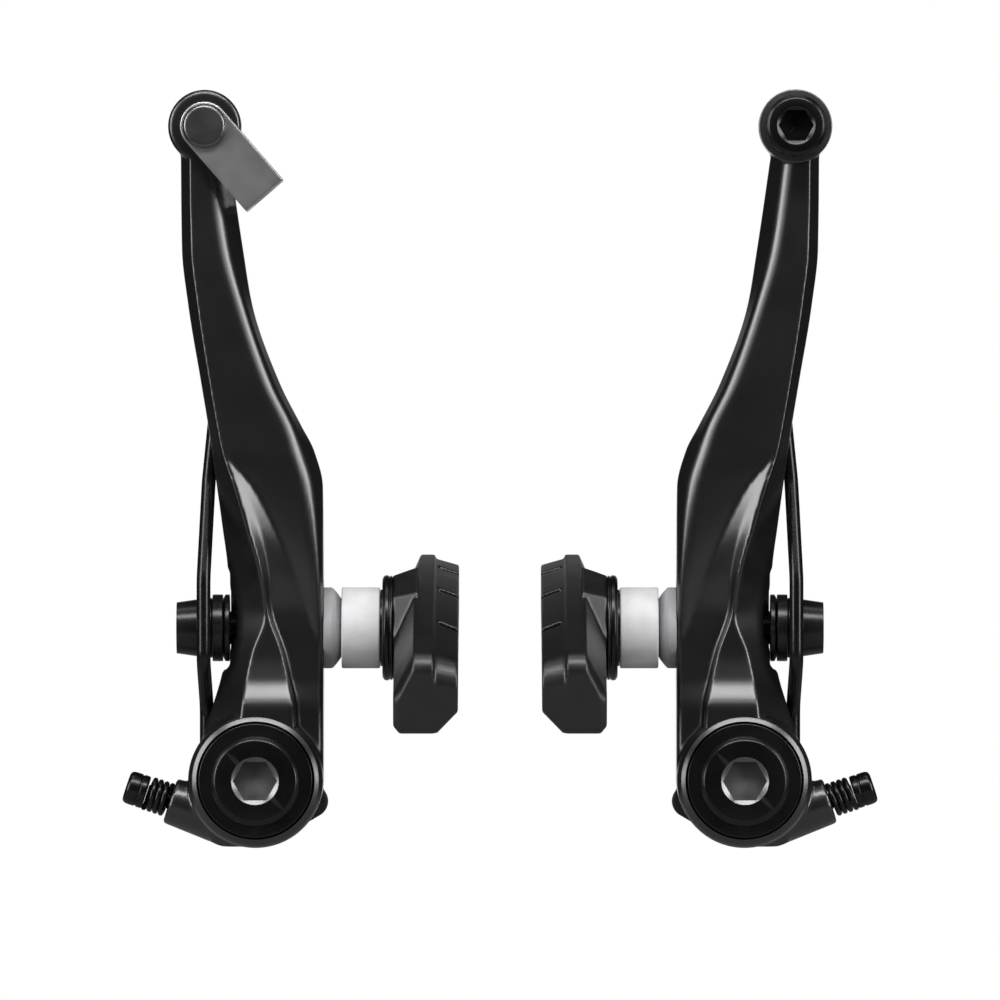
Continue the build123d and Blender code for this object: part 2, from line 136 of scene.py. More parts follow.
# %% [markdown]
# ## World
# The brake stands before white paper. The camera sees plain white, and a much weaker grey lights
# the brake, so that black parts stay black. The gloss sees white paper straight behind the brake
# and a dark room everywhere else. One colour ramp along Y gives that, without a studio picture.

# %% helper for shader nodes


def add(tree, kind, **values):
    """Node with its inputs set."""
    node = tree.nodes.new(kind)
    for key, value in values.items():
        node.inputs[key.replace("_", " ")].default_value = value
    return node


def mixed(tree, share, first, second):
    """Mix of two shaders by an output that gives the share of the second."""
    node = tree.nodes.new("ShaderNodeMixShader")
    tree.links.new(share, node.inputs[0])
    tree.links.new(first.outputs[0], node.inputs[1])
    tree.links.new(second.outputs[0], node.inputs[2])
    return node


print("node helpers ready")

# %% world
ROOM_STRENGTH = 0.2
PAPER_FROM = 0.955
PAPER_FULL = 0.998
world = bpy.data.worlds.new("studio")
bpy.context.scene.world = world
world.use_nodes = True
tree = world.node_tree
tree.nodes.clear()
path = tree.nodes.new("ShaderNodeLightPath")
place = tree.nodes.new("ShaderNodeTexCoord")
split = tree.nodes.new("ShaderNodeSeparateXYZ")
tree.links.new(place.outputs["Generated"], split.inputs[0])
half = tree.nodes.new("ShaderNodeMath")
half.operation = "MULTIPLY_ADD"
half.inputs[1].default_value = 0.5
half.inputs[2].default_value = 0.5
tree.links.new(split.outputs["Y"], half.inputs[0])
paper = tree.nodes.new("ShaderNodeValToRGB")
paper.color_ramp.elements[0].position = PAPER_FROM
paper.color_ramp.elements[0].color = (0.02, 0.02, 0.02, 1)
paper.color_ramp.elements[1].position = PAPER_FULL
paper.color_ramp.elements[1].color = (1, 1, 1, 1)
tree.links.new(half.outputs[0], paper.inputs["Fac"])
reflected = add(tree, "ShaderNodeBackground", Strength=1.0)
tree.links.new(paper.outputs["Color"], reflected.inputs["Color"])
either = tree.nodes.new("ShaderNodeMath")
either.operation = "MAXIMUM"
tree.links.new(path.outputs["Is Glossy Ray"], either.inputs[0])
tree.links.new(path.outputs["Is Transmission Ray"], either.inputs[1])
room = add(tree, "ShaderNodeBackground", Color=(0.9, 0.9, 0.9, 1), Strength=ROOM_STRENGTH)
white = add(tree, "ShaderNodeBackground", Color=(1, 1, 1, 1), Strength=1.0)
around = mixed(tree, either.outputs[0], room, reflected)
seen = mixed(tree, path.outputs["Is Camera Ray"], around, white)
out = tree.nodes.new("ShaderNodeOutputWorld")
tree.links.new(seen.outputs[0], out.inputs["Surface"])
print("room strength", ROOM_STRENGTH)

# %% [markdown]
# ## Lamps
# Black gloss shows its lamps more than its own colour, so they are placed for the bands in the
# photograph. The long lamp above the front lights the slope over each barrel, and the tall lamps
# at the sides light the hollow facets. Point lamps would give hard dots instead.

# %% lamps
AIM = (0, 0, 0.04)
# Each lamp: name, place, width, height, power in watts.
LAMPS = (
    ("front_lamp", (0.0, -0.7, 0.92), 1.1, 0.26, 9.0),
    ("top_lamp", (0.0, -0.05, 1.05), 0.7, 0.3, 1.1),
    ("left_lamp", (-0.89, -0.6, 0.32), 0.32, 0.8, 6.2),
    ("right_lamp", (0.89, -0.6, 0.32), 0.32, 0.8, 6.2),
)
for name, spot, width, height, power in LAMPS:
    data = bpy.data.lights.new(name, "AREA")
    data.shape = "RECTANGLE"
    data.size = width
    data.size_y = height
    data.energy = power
    lamp = bpy.data.objects.new(name, data)
    lamp.location = spot
    way = Vector(AIM) - Vector(spot)
    lamp.rotation_euler = way.to_track_quat("-Z", "Y").to_euler()
    bpy.context.scene.collection.objects.link(lamp)
print("lamps", len(LAMPS))

# %% [markdown]
# ## Floor
# A round sheet of pale paper under the brake catches its shadow. To the camera its rim fades into
# the white world, where a big plane would show a horizon. To every other ray it is grey, because a
# pale floor would be mirrored in all the black undersides.

# %% floor
FLOOR_HEIGHT = -0.06
FLOOR_RADIUS = 0.26
FLOOR_SEGMENTS = 96
FADE_FROM = 0.1
FADE_TO = 0.25
points = [(0.0, 0.0, FLOOR_HEIGHT)]
for step in range(FLOOR_SEGMENTS):
    angle = 2 * math.pi * step / FLOOR_SEGMENTS
    points.append((FLOOR_RADIUS * math.cos(angle), FLOOR_RADIUS * math.sin(angle), FLOOR_HEIGHT))
faces = [(0, 1 + step, 1 + (step + 1) % FLOOR_SEGMENTS) for step in range(FLOOR_SEGMENTS)]
floor = to_object("floor", points, faces)
paper_sheet = bpy.data.materials.new("floor")
paper_sheet.use_nodes = True
tree = paper_sheet.node_tree
tree.nodes.clear()
path = tree.nodes.new("ShaderNodeLightPath")
place = tree.nodes.new("ShaderNodeTexCoord")
length = tree.nodes.new("ShaderNodeVectorMath")
length.operation = "LENGTH"
tree.links.new(place.outputs["Object"], length.inputs[0])
fade = tree.nodes.new("ShaderNodeMapRange")
fade.interpolation_type = "SMOOTHSTEP"
fade.inputs["From Min"].default_value = FADE_FROM
fade.inputs["From Max"].default_value = FADE_TO
tree.links.new(length.outputs["Value"], fade.inputs["Value"])
faded = tree.nodes.new("ShaderNodeMath")
faded.operation = "MULTIPLY"
tree.links.new(fade.outputs["Result"], faded.inputs[0])
tree.links.new(path.outputs["Is Camera Ray"], faded.inputs[1])
pale = add(tree, "ShaderNodeBsdfDiffuse", Color=(0.86, 0.86, 0.86, 1))
grey = add(tree, "ShaderNodeBsdfDiffuse", Color=(0.25, 0.25, 0.25, 1))
glow = add(tree, "ShaderNodeEmission", Color=(1, 1, 1, 1), Strength=1.0)
sheet = mixed(tree, path.outputs["Is Camera Ray"], grey, pale)
whole = mixed(tree, faded.outputs[0], sheet, glow)
out = tree.nodes.new("ShaderNodeOutputMaterial")
tree.links.new(whole.outputs[0], out.inputs["Surface"])
floor.data.materials.append(paper_sheet)
print("floor radius", FLOOR_RADIUS, "m")

# %% [markdown]
# ## One recipe for every finish
# None of the brake's surfaces is perfectly even: coated metal has a fine orange peel, plated bolts
# have small dents, and rubber is speckled. Photographs could be wrapped round the parts, but noise
# needs no unwrapping. A fine noise gives the bumps and a broad one uneven gloss and tint, and
# Pointiness can add a little wear along the edges.

# %% recipe for a finish
WEAR_FROM = 0.53
WEAR_FULL = 0.62
WORN_COLOR = (0.5, 0.5, 0.5, 1)


def ranged(tree, low, high):
    """Map range node that ends between two values."""
    node = tree.nodes.new("ShaderNodeMapRange")
    node.inputs["To Min"].default_value = low
    node.inputs["To Max"].default_value = high
    return node


def finish(name, color, rough, metal=0.0, coat=0.0, coat_rough=0.1, noise_scale=2600, bump=0.01,
           rough_spread=0.08, wear=0.0, mottling=0.1, specular=0.5):
    """Surface with fine bumps, uneven gloss and tint, and light wear on its edges."""
    material = bpy.data.materials.new(name)
    material.use_nodes = True
    tree = material.node_tree
    shader = tree.nodes["Principled BSDF"]
    shader.inputs["Metallic"].default_value = metal
    shader.inputs["Specular IOR Level"].default_value = specular
    shader.inputs["Coat Weight"].default_value = coat
    shader.inputs["Coat Roughness"].default_value = coat_rough
    place = tree.nodes.new("ShaderNodeTexCoord")
    fine = add(tree, "ShaderNodeTexNoise", Scale=noise_scale, Detail=4.0, Roughness=0.6)
    broad = add(tree, "ShaderNodeTexNoise", Scale=noise_scale / 12, Detail=3.0, Roughness=0.55)
    tree.links.new(place.outputs["Object"], fine.inputs["Vector"])
    tree.links.new(place.outputs["Object"], broad.inputs["Vector"])
    gloss = ranged(tree, max(rough - rough_spread, 0.02), min(rough + rough_spread, 1.0))
    tree.links.new(broad.outputs["Fac"], gloss.inputs["Value"])
    tree.links.new(gloss.outputs["Result"], shader.inputs["Roughness"])
    tint = tree.nodes.new("ShaderNodeValToRGB")
    tint.color_ramp.elements[0].position = 0.3
    tint.color_ramp.elements[0].color = tuple(c * (1 - mottling) for c in color) + (1,)
    tint.color_ramp.elements[1].position = 0.7
    tint.color_ramp.elements[1].color = tuple(min(c * (1 + mottling), 1) for c in color) + (1,)
    tree.links.new(broad.outputs["Fac"], tint.inputs["Fac"])
    color_out = tint.outputs["Color"]
    if wear > 0:
        surface = tree.nodes.new("ShaderNodeNewGeometry")
        edge = ranged(tree, 0.0, wear)
        edge.inputs["From Min"].default_value = WEAR_FROM
        edge.inputs["From Max"].default_value = WEAR_FULL
        tree.links.new(surface.outputs["Pointiness"], edge.inputs["Value"])
        worn = tree.nodes.new("ShaderNodeMix")
        worn.data_type = "RGBA"
        worn.inputs["B"].default_value = WORN_COLOR
        tree.links.new(edge.outputs["Result"], worn.inputs["Factor"])
        tree.links.new(color_out, worn.inputs["A"])
        color_out = worn.outputs["Result"]
    tree.links.new(color_out, shader.inputs["Base Color"])
    relief = add(tree, "ShaderNodeBump", Strength=0.5, Distance=bump * MM)
    tree.links.new(fine.outputs["Fac"], relief.inputs["Height"])
    tree.links.new(relief.outputs["Normal"], shader.inputs["Normal"])
    return material


print("wear starts at pointiness", WEAR_FROM)

# %% [markdown]
# ## The brake's own finishes
# The arms have a deep black gloss, which is a black base under a soft clear coat. Bolts and nuts
# are plated black, the springs are black wire, and the pads are a dull moulded compound. The two
# pale washers are blasted, so they have next to no mirror in them. A key has rubbed the mouth of
# each mounting bolt's socket bright, and its floor is dull from the punch. The black base colours
# are very dark, because the lamps' reflections already lift them.

# %% finishes
black_arm = finish("black_arm", (0.003, 0.003, 0.0032), 0.35, coat=0.8, coat_rough=0.24,
                   noise_scale=1400, rough_spread=0.05, wear=0.01, specular=0.9)
black_bolt = finish("black_bolt", (0.003, 0.003, 0.003), 0.27, noise_scale=2200, bump=0.008,
                    wear=0.03)
black_wire = finish("black_wire", (0.004, 0.004, 0.004), 0.26, noise_scale=2500)
dark_steel = finish("dark_steel", (0.22, 0.22, 0.22), 0.35, metal=1.0, noise_scale=2500)
dark_plastic = finish("dark_plastic", (0.012, 0.012, 0.012), 0.5, noise_scale=1800, bump=0.02)
pad_compound = finish("pad_compound", (0.004, 0.004, 0.0042), 0.4, bump=0.02, mottling=0.25,
                      specular=0.9)
bare_edge = finish("bare_edge", (0.2, 0.2, 0.2), 0.34, metal=1.0)
socket_grey = finish("socket_grey", (0.14, 0.14, 0.14), 0.6, bump=0.03)
grey_washer = finish("grey_washer", (0.38, 0.38, 0.39), 0.65, metal=0.1)
satin_silver = finish("satin_silver", (0.68, 0.68, 0.69), 0.75, bump=0.012)
link_metal = finish("link_metal", (0.5, 0.5, 0.51), 0.36, metal=0.9, noise_scale=1500, bump=0.012)
BY_SLOT = {
    "black_arm": black_arm, "black_bolt": black_bolt, "black_wire": black_wire,
    "dark_steel": dark_steel, "dark_plastic": dark_plastic, "pad_compound": pad_compound,
    "grey_washer": grey_washer, "satin_silver": satin_silver,
}
for part in frame["record"]["subparts"]:
    node = bpy.data.objects[part["node"]]
    node.data.materials.clear()
    node.data.materials.append(BY_SLOT[part["material_slot"]])

# %% [markdown]
# ## Two sides from one measure
# The right half of the brake mirrors the left one, apart from the link and the cable's anchor. A
# Mirror modifier could do that, but each side rides its own bodies. So a part is written in
# millimetres from its own pivot, with X towards the wheel, Y to the rear and Z up, and its points
# are then placed on the left or the right boss.

# %% sides and bodies
SIDES = (("left", -1), ("right", 1))
HALF_SPACING = 40.0


def on_side(side, points):
    """Places in metres of many points of one side."""
    return [(side * (HALF_SPACING - x) * MM, y * MM, z * MM) for x, y, z in points]


def shape(name, geometry, side, sharp=SHARP_ANGLE):
    """Object on one side from points and faces in that side's own measure."""
    points, faces = geometry
    return to_object(name, on_side(side, points), faces, sharp)


def hand_over(obj, body, material, nodes=()):
    """Finish, body and replaced nodes of a part."""
    obj.data.materials.clear()
    obj.data.materials.append(material)
    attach(obj, body)
    if nodes:
        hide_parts(*nodes)


def part_of(name, geometry, side, body, material, nodes=()):
    """Part made in one go, from its geometry to its body."""
    obj = shape(name, geometry, side)
    hand_over(obj, body, material, nodes)
    return obj


print("bosses", 2 * HALF_SPACING, "mm apart")

# %% [markdown]
# ## Turning and straight bars
# Most of the brake is turned: bolts, washers, nuts, barrels and heads. Blender's Screw modifier
# turns a profile too, but here a ring's radius may also follow the angle, and the same function
# then makes round heads, hexagon sockets and threads. A straight bar between two loops of points
# serves for the webs and the slots. One function skins them all.

# %% turned and straight geometry
FORWARD = (0, -1, 0)
REARWARD = (0, 1, 0)
INWARD = (1, 0, 0)


def frame_at(origin, along):
    """Start and unit axes for a turned part: two across and one along."""
    along = Vector(along).normalized()
    seed = Vector(REARWARD) if abs(along.y) < 0.9 else Vector((0, 0, 1))
    across = seed.cross(along).normalized()
    return Vector(origin), across, along.cross(across).normalized(), along


def skin(count, around, closed=False):
    """Faces over loops of points, with a cap on both ends or closed to a ring."""
    faces = []
    for loop in range(count if closed else count - 1):
        below = loop * around
        above = ((loop + 1) % count) * around
        for step in range(around):
            after = (step + 1) % around
            faces.append((below + step, below + after, above + after, above + step))
    if not closed:
        faces.append(tuple(reversed(range(around))))
        faces.append(tuple(range((count - 1) * around, count * around)))
    return faces


def turned(rings, origin, along, segments=96, closed=False):
    """Points and faces turned about a line.

    Each ring is (distance, radius), and either may be a function of the angle.
    """
    start, across, other, axis = frame_at(origin, along)
    points = []
    for distance, radius in rings:
        for step in range(segments):
            angle = 2 * math.pi * step / segments
            reach = radius(angle) if callable(radius) else radius
            spot = start + axis * (distance(angle) if callable(distance) else distance)
            spot += (across * math.cos(angle) + other * math.sin(angle)) * max(reach, 0.0001)
            points.append(tuple(spot))
    return points, skin(len(rings), segments, closed)


def bar_y(radius, front, rear, x=0.0, z=0.0, segments=96):
    """Round bar along Y between two distances in front of the boss seat."""
    return turned([(0, radius), (front - rear, radius)], (x, -front, z), REARWARD, segments)


def prism(first, second):
    """Solid between two loops with as many points."""
    return list(first) + list(second), skin(2, len(first))


def plate_y(outline, front, rear):
    """Flat plate across Y with an outline of (x, z)."""
    return prism([(x, -front, z) for x, z in outline], [(x, -rear, z) for x, z in outline])


def box_mesh(low, high):
    """Box between two corners."""
    points = [(x, y, z) for x in (low[0], high[0]) for y in (low[1], high[1]) for z in (low[2], high[2])]
    return points, [(0, 1, 3, 2), (4, 6, 7, 5), (0, 4, 5, 1), (2, 3, 7, 6), (0, 2, 6, 4), (1, 5, 7, 3)]


def joined(*parts):
    """One set of points and faces from several."""
    points = []
    faces = []
    for more_points, more_faces in parts:
        base = len(points)
        points += more_points
        faces += [tuple(base + index for index in face) for face in more_faces]
    return points, faces


print("a turned bar has", len(bar_y(1.0, 1.0, 0.0)[0]), "points")

# %% [markdown]
# ## Rounded corners
# A turned part has no knife edges: each corner of its profile has a small round that catches a
# line of light. A Bevel modifier could add them, but it would round all edges alike. Here each
# corner of a profile may name its own radius.

# %% rounded profiles
STRAIGHT = math.radians(176)


def corner_curve(first, here, last, steps):
    """Points of a curve that leaves one leg of a corner and joins the other."""
    curve = []
    for step in range(steps + 1):
        t = step / steps
        curve.append(first * (1 - t) ** 2 + here * 2 * t * (1 - t) + last * t**2)
    return curve


def rounded(points, radius, steps=4):
    """Profile with rounded corners; a corner's own third number sets its radius."""
    result = [points[0][:2]]
    for before, corner, after in zip(points, points[1:], points[2:]):
        own = corner[2] if len(corner) > 2 else radius
        here = Vector(corner[:2])
        back = Vector(before[:2]) - here
        forth = Vector(after[:2]) - here
        if own <= 0 or min(back.length, forth.length) < 1e-6 or back.angle(forth) > STRAIGHT:
            result.append(tuple(here))
            continue
        trim = min(own / math.tan(back.angle(forth) / 2), back.length * 0.45, forth.length * 0.45)
        first = here + back.normalized() * trim
        last = here + forth.normalized() * trim
        result += [tuple(spot) for spot in corner_curve(first, here, last, steps)]
    result.append(points[-1][:2])
    return result


def ring_profile(inner, outer, thickness, edge):
    """Profile of a flat ring with rounded outer edges."""
    return rounded([(0.0, inner), (0.0, outer), (thickness, outer), (thickness, inner)], edge)


print("a rounded ring has", len(ring_profile(3.2, 9.35, 1.4, 0.25)), "profile points")

# %% [markdown]
# ## Cutting and evening
# Bores and slots are cut with booleans, as a drill and a mill would, but a boolean leaves long
# thin faces that shade badly. So the mesh of a forged or moulded part is made again from small even
# cells and smoothed a little, which also gives its edges the soft look of a die. The turned parts
# skip this and keep their clean rings.

# %% booleans and even meshes


def bake(obj):
    """Applies the modifiers of an object."""
    graph = bpy.context.evaluated_depsgraph_get()
    mesh = bpy.data.meshes.new_from_object(obj.evaluated_get(graph))
    old = obj.data
    obj.modifiers.clear()
    obj.data = mesh
    bpy.data.meshes.remove(old)


def carve(obj, geometry, side, operation="DIFFERENCE"):
    """Boolean of an object with a shape that is then removed."""
    tool = shape("tool", geometry, side)
    modifier = obj.modifiers.new("carve", "BOOLEAN")
    modifier.operation = operation
    modifier.object = tool
    modifier.solver = "EXACT"
    bake(obj)
    bpy.data.objects.remove(tool, do_unlink=True)


def join_on(obj, geometry, side):
    """Boolean that joins a shape to an object."""
    carve(obj, geometry, side, "UNION")


def remesh(obj, cell, rounds):
    """Even small faces with softly rounded edges."""
    modifier = obj.modifiers.new("even", "REMESH")
    modifier.mode = "VOXEL"
    modifier.voxel_size = cell * MM
    modifier.use_smooth_shade = True
    soften = obj.modifiers.new("soften", "SMOOTH")
    soften.iterations = rounds
    soften.factor = 0.5
    bake(obj)


print("boolean helpers ready")

# %% [markdown]
# ## The blade's ridges
# The most striking part of the brake is the forged blade. A narrow crest runs down its outer
# front, splits above the barrel into two lines, and has a hollow facet beside it. A broad panel
# rolls over a shoulder and a brow to the inner side. It could be sculpted, but a loft is truer.
# Each row says where one ridge is at the same heights, across towards the wheel or in front of the
# boss. The last rows place the hollow and round the corners.

# %% ridges at a few heights, in millimetres from the pivot
HEIGHTS = (0.0, 11.5, 16.9, 21.0, 27.0, 34.0, 42.0, 48.0, 54.0, 58.0, 65.0, 78.0, 87.0, 104.0)
OUTER = (-11.0, -7.35, -5.75, -4.95, -4.5, -4.65, -5.6, -6.4, -7.2, -7.8, -8.95, -11.1, -12.1, -12.3)
INNER = (11.05, 11.05, 11.05, 11.05, 11.05, 11.05, 11.05, 11.0, 9.55, 7.5, 3.95, -0.6, -2.1, -4.6)
CREST_OUT = (-2.6, -2.2, -1.4, -0.45, 1.6, 0.6, -1.75, -3.5, -5.5, -6.3, -7.5, -9.5, -10.5, -10.8)
CREST_IN = (6.6, 6.3, 5.3, 4.3, 2.2, 1.0, -1.35, -3.1, -5.1, -5.9, -7.1, -9.1, -10.1, -10.4)
PANEL = (10.3, 10.3, 10.3, 10.2, 8.6, 6.4, 2.9, -0.35, -5.0, -5.7, -6.9, -8.9, -9.9, -10.2)
SHOULDER = (10.5, 10.5, 10.5, 10.4, 9.7, 9.2, 8.3, 7.4, 5.7, 4.4, 1.0, -3.5, -6.0, -8.2)
BROW = (10.8, 10.8, 10.8, 10.75, 10.7, 10.5, 10.1, 9.4, 7.7, 6.3, 2.9, -1.7, -4.2, -6.6)
CREST_FRONT = (17.6, 17.6, 15.7, 15.1, 15.3, 17.5, 18.8, 19.0, 18.45) + (18.4,) * 5
PANEL_FRONT = (14.2, 14.0, 13.3, 13.2, 13.7, 15.1, 16.6, 17.55) + (18.4,) * 6
SHOULDER_FRONT = (14.1, 13.9, 13.1, 13.1, 14.3, 16.0, 17.3, 18.0, 18.35) + (18.4,) * 5
SIDE_FRONT = (12.0, 11.0, 10.0, 9.8, 10.0, 10.4, 11.4, 12.2, 13.2, 13.8, 14.4, 14.6, 14.6, 14.6)
REAR = (2.3, 2.3, 0.8, 0.6, 0.6, 3.5, 8.0, 10.5, 11.2) + (11.5,) * 5
BROW_DROP = (0.2, 0.2, 0.2, 0.2, 0.3, 0.35, 0.7, 0.9, 0.95, 0.9, 0.9, 0.85, 0.85, 0.8)
SIDE_DROP = (0.6, 0.6, 0.6, 0.6, 1.2, 2.0, 3.4, 4.4, 5.0) + (5.2,) * 5
HOLLOW_DROP = (0.85, 0.85, 0.8, 0.78, 0.75, 0.66, 0.5, 0.46) + (0.45,) * 6
HOLLOW_SHARE = (0.1, 0.1, 0.06, 0.06, 0.07, 0.2, 0.4) + (0.45,) * 7
CORNER_ROUNDS = (0.5, 0.9, 0.35, 0.4, 0.6, 0.5, 3.0, 2.5, 0.8, 0.6)
print("ridge heights", len(HEIGHTS), "up to", HEIGHTS[-1], "mm")

# %% [markdown]
# ## A smooth curve that never overshoots
# Between the given heights a ridge has to run smoothly, but a plain cubic would swing past its
# points and put waves into the metal. This cubic averages its slopes, so it keeps between them.

# %% smooth curve


def smooth_value(xs, ys, x):
    """Value at x of a smooth curve through points, without overshoot."""
    if x <= xs[0]:
        return ys[0]
    if x >= xs[-1]:
        return ys[-1]
    steps = [b - a for a, b in zip(xs, xs[1:])]
    slopes = [(b - a) / h for a, b, h in zip(ys, ys[1:], steps)]

    def tangent(i):
        if i == 0:
            return slopes[0]
        if i == len(ys) - 1:
            return slopes[-1]
        a, b = slopes[i - 1], slopes[i]
        if a * b <= 0:
            return 0.0
        w1 = 2 * steps[i] + steps[i - 1]
        w2 = steps[i] + 2 * steps[i - 1]
        return (w1 + w2) / (w1 / a + w2 / b)

    index = max(i for i in range(len(steps)) if xs[i] <= x)
    h = steps[index]
    t = (x - xs[index]) / h
    m0, m1 = tangent(index) * h, tangent(index + 1) * h
    a, b = ys[index], ys[index + 1]
    return (a * (2 * t**3 - 3 * t**2 + 1) + m0 * (t**3 - 2 * t**2 + t)
            + b * (3 * t**2 - 2 * t**3) + m1 * (t**3 - t**2))


print("blade's outer side at 45 mm up:", round(smooth_value(HEIGHTS, OUTER, 45.0), 2))

# %% [markdown]
# ## Level sections and their loft
# Cut level, the blade has ten corners, and each corner lies on one ridge. Every corner gets the
# round that it has on the forging, from a crisp crest to a full shoulder. All sections have as many
# points, so skinning them only joins neighbours.

# %% level sections
POINTS_PER_EDGE = 7
POINTS_PER_CORNER = 4


def blade_section(height):
    """Corners of the blade's level section, as (across, to the rear)."""
    def at(values):
        return smooth_value(HEIGHTS, values, height)
    crest = at(CREST_FRONT)
    panel = at(PANEL_FRONT)
    shoulder = at(SHOULDER_FRONT)
    share = at(HOLLOW_SHARE)
    hollow = at(CREST_IN) * (1 - share) + at(PANEL) * share
    return [
        (at(OUTER), -at(REAR)),
        (at(OUTER), -at(SIDE_FRONT)),
        (at(CREST_OUT), -crest),
        (at(CREST_IN), -crest),
        (hollow, -crest + (crest - panel) * at(HOLLOW_DROP)),
        (at(PANEL), -panel),
        (at(SHOULDER), -shoulder),
        (at(BROW), -shoulder + at(BROW_DROP)),
        (at(INNER), -shoulder + at(SIDE_DROP)),
        (at(INNER), -at(REAR)),
    ]


def soft_section(corners, rounds):
    """Closed line with rounded corners and evenly split edges."""
    count = len(corners)
    bends = []
    for index in range(count):
        here = Vector(corners[index])
        back = Vector(corners[index - 1]) - here
        forth = Vector(corners[(index + 1) % count]) - here
        trim = rounds[index] / max(math.tan(back.angle(forth) / 2), 0.05)
        trim = min(trim, back.length * 0.4, forth.length * 0.4)
        bends.append((here + back.normalized() * trim, here, here + forth.normalized() * trim))
    line = []
    for index in range(count):
        first, here, last = bends[index]
        line += corner_curve(first, here, last, POINTS_PER_CORNER)[:-1]
        following = bends[(index + 1) % count][0]
        line += [last.lerp(following, step / POINTS_PER_EDGE) for step in range(POINTS_PER_EDGE)]
    return line


print("points round a section", len(soft_section(blade_section(40.0), CORNER_ROUNDS)))

# %% loft
BLADE_ROWS = 190


def blade_mesh():
    """Points and faces of the blade."""
    points = []
    around = 0
    for row in range(BLADE_ROWS + 1):
        height = HEIGHTS[-1] * row / BLADE_ROWS
        line = soft_section(blade_section(height), CORNER_ROUNDS)
        around = len(line)
        points += [(spot.x, spot.y, height) for spot in line]
    return points, skin(BLADE_ROWS + 1, around)


print("blade faces", len(blade_mesh()[1]))

# %% [markdown]
# ## What is joined to the blade and cut from it
# At its foot the forging has a barrel that turns on the boss, and a lug for the adjuster screw
# with a web under it. At its top is a round head for the link or the cable's anchor. Then the
# bores, the recess, the spring's room, the slot for the pad's post with its seat, and the holes
# for screw and wire are cut. Booleans do it in the order that a shop would.

# %% barrel, lug and head
BARREL_RADIUS = 11.05
BARREL_REAR = 2.3
SLEEVE_BORE = 5.55
RECESS_RADIUS = 9.6
WASHER_REAR = 17.0
LUG_RISE = math.radians(18.4)
LUG_FOOT = Vector((-2.46, -6.6, -7.4))
LUG_WAY = Vector((-math.cos(LUG_RISE), 0.0, math.sin(LUG_RISE)))
HEAD = (-8.3, 107.0)
HEAD_FRONT = 18.5
HEAD_RADIUS = 5.99
BARREL_PROFILE = rounded(
    [(0.0, BARREL_RADIUS), (13.9, BARREL_RADIUS, 0.5), (14.9, 10.4, 0.4), (15.2, 10.1, 0.15),
     (15.4, 9.4)], 0.4)
BARREL_RINGS = [(0.0, 10.4)] + [(0.65 + d * 0.9588, r) for d, r in BARREL_PROFILE]
LUG_RINGS = [(3.0, 4.4), (12.0, 3.83), (12.25, 3.75), (12.4, 3.5)]
HEAD_RINGS = [(0, 5.5), (0.5, HEAD_RADIUS), (6.5, HEAD_RADIUS), (7.0, 5.5)]
LUG_WEB = ((-1.0, -2.0), (-7.5, -2.0), (-7.5, -10.2), (-6.5, -10.68), (-5.6, -10.96),
           (-4.6, -11.03), (-1.0, -11.03))


def add_bosses(arm, side):
    """Joins the barrel, the lug with its web and the head to the blade."""
    join_on(arm, turned(BARREL_RINGS, (0, -BARREL_REAR, 0), FORWARD, 128), side)
    join_on(arm, turned(LUG_RINGS, LUG_FOOT, LUG_WAY, 64), side)
    join_on(arm, plate_y(LUG_WEB, 9.4, 3.8), side)
    join_on(arm, turned(HEAD_RINGS, (HEAD[0], 7.0 - HEAD_FRONT, HEAD[1]), FORWARD, 96), side)


print("barrel", 2 * BARREL_RADIUS, "mm across, head", 2 * HEAD_RADIUS, "mm across")

# %% bores and slots
SLOT = (-7.0, 26.4)
SLOT_TRAVEL = 2.5
SLOT_RADIUS = 3.9
SEAT_RADIUS = 6.5
SEAT_DEPTH = -4.3
PAST_ARM = 14.0
REAR_OPENING = 12.0
WIRE_HOLE = (-6.4, 63.0)


def slot_bar(radius, x_from, x_to, open_rear=False, steps=48):
    """Bar along X with a long rounded section, for the slot and its seat."""
    outline = []
    for start, middle in ((0.0, SLOT_TRAVEL), (math.pi, -SLOT_TRAVEL)):
        for step in range(steps + 1):
            angle = start + math.pi * step / steps
            outline.append((-radius * math.cos(angle), middle + radius * math.sin(angle)))
    if open_rear:
        reach = SLOT_TRAVEL + radius
        front = sorted((spot for spot in outline if spot[0] <= 0), key=lambda spot: -spot[1])
        outline = [(REAR_OPENING, -reach), (REAR_OPENING, reach)] + front
    return prism(*[[(x, SLOT[0] + y, SLOT[1] + z) for y, z in outline] for x in (x_from, x_to)])


def cut_bores(arm, side):
    """Cuts every bore, recess, slot and hole of an arm."""
    carve(arm, bar_y(RECESS_RADIUS, 9.0, -3.0), side)
    carve(arm, bar_y(RECESS_RADIUS, 22.0, WASHER_REAR - 0.1), side)
    carve(arm, bar_y(SLEEVE_BORE, 22.0, -3.0), side)
    carve(arm, box_mesh((-10.5, -10.0, 0.0), (-6.8, 3.0, 14.0)), side)
    carve(arm, slot_bar(SLOT_RADIUS, -PAST_ARM, PAST_ARM), side)
    carve(arm, slot_bar(SEAT_RADIUS, -PAST_ARM, SEAT_DEPTH, open_rear=True), side)
    carve(arm, turned([(3.0, 1.55), (13.0, 1.55)], LUG_FOOT, LUG_WAY, 32), side)
    carve(arm, bar_y(1.4, 14.5, 8.0, *WIRE_HOLE, segments=32), side)
    hole = 2.5 if side < 0 else 3.0
    carve(arm, bar_y(hole, 22.0, 8.0, *HEAD, segments=48), side)


print("slot for a post", 2 * SLOT_RADIUS, "mm wide")

# %% [markdown]
# ## The arms
# The forging is put together on each side. Smaller cells than 0.3 mm would keep its ridges crisper,
# but an arm has to stay under 200,000 triangles. The bright edge round the front of the barrel is
# machined on the real arm and would look ragged in such cells, so it is a turned ring of its own.

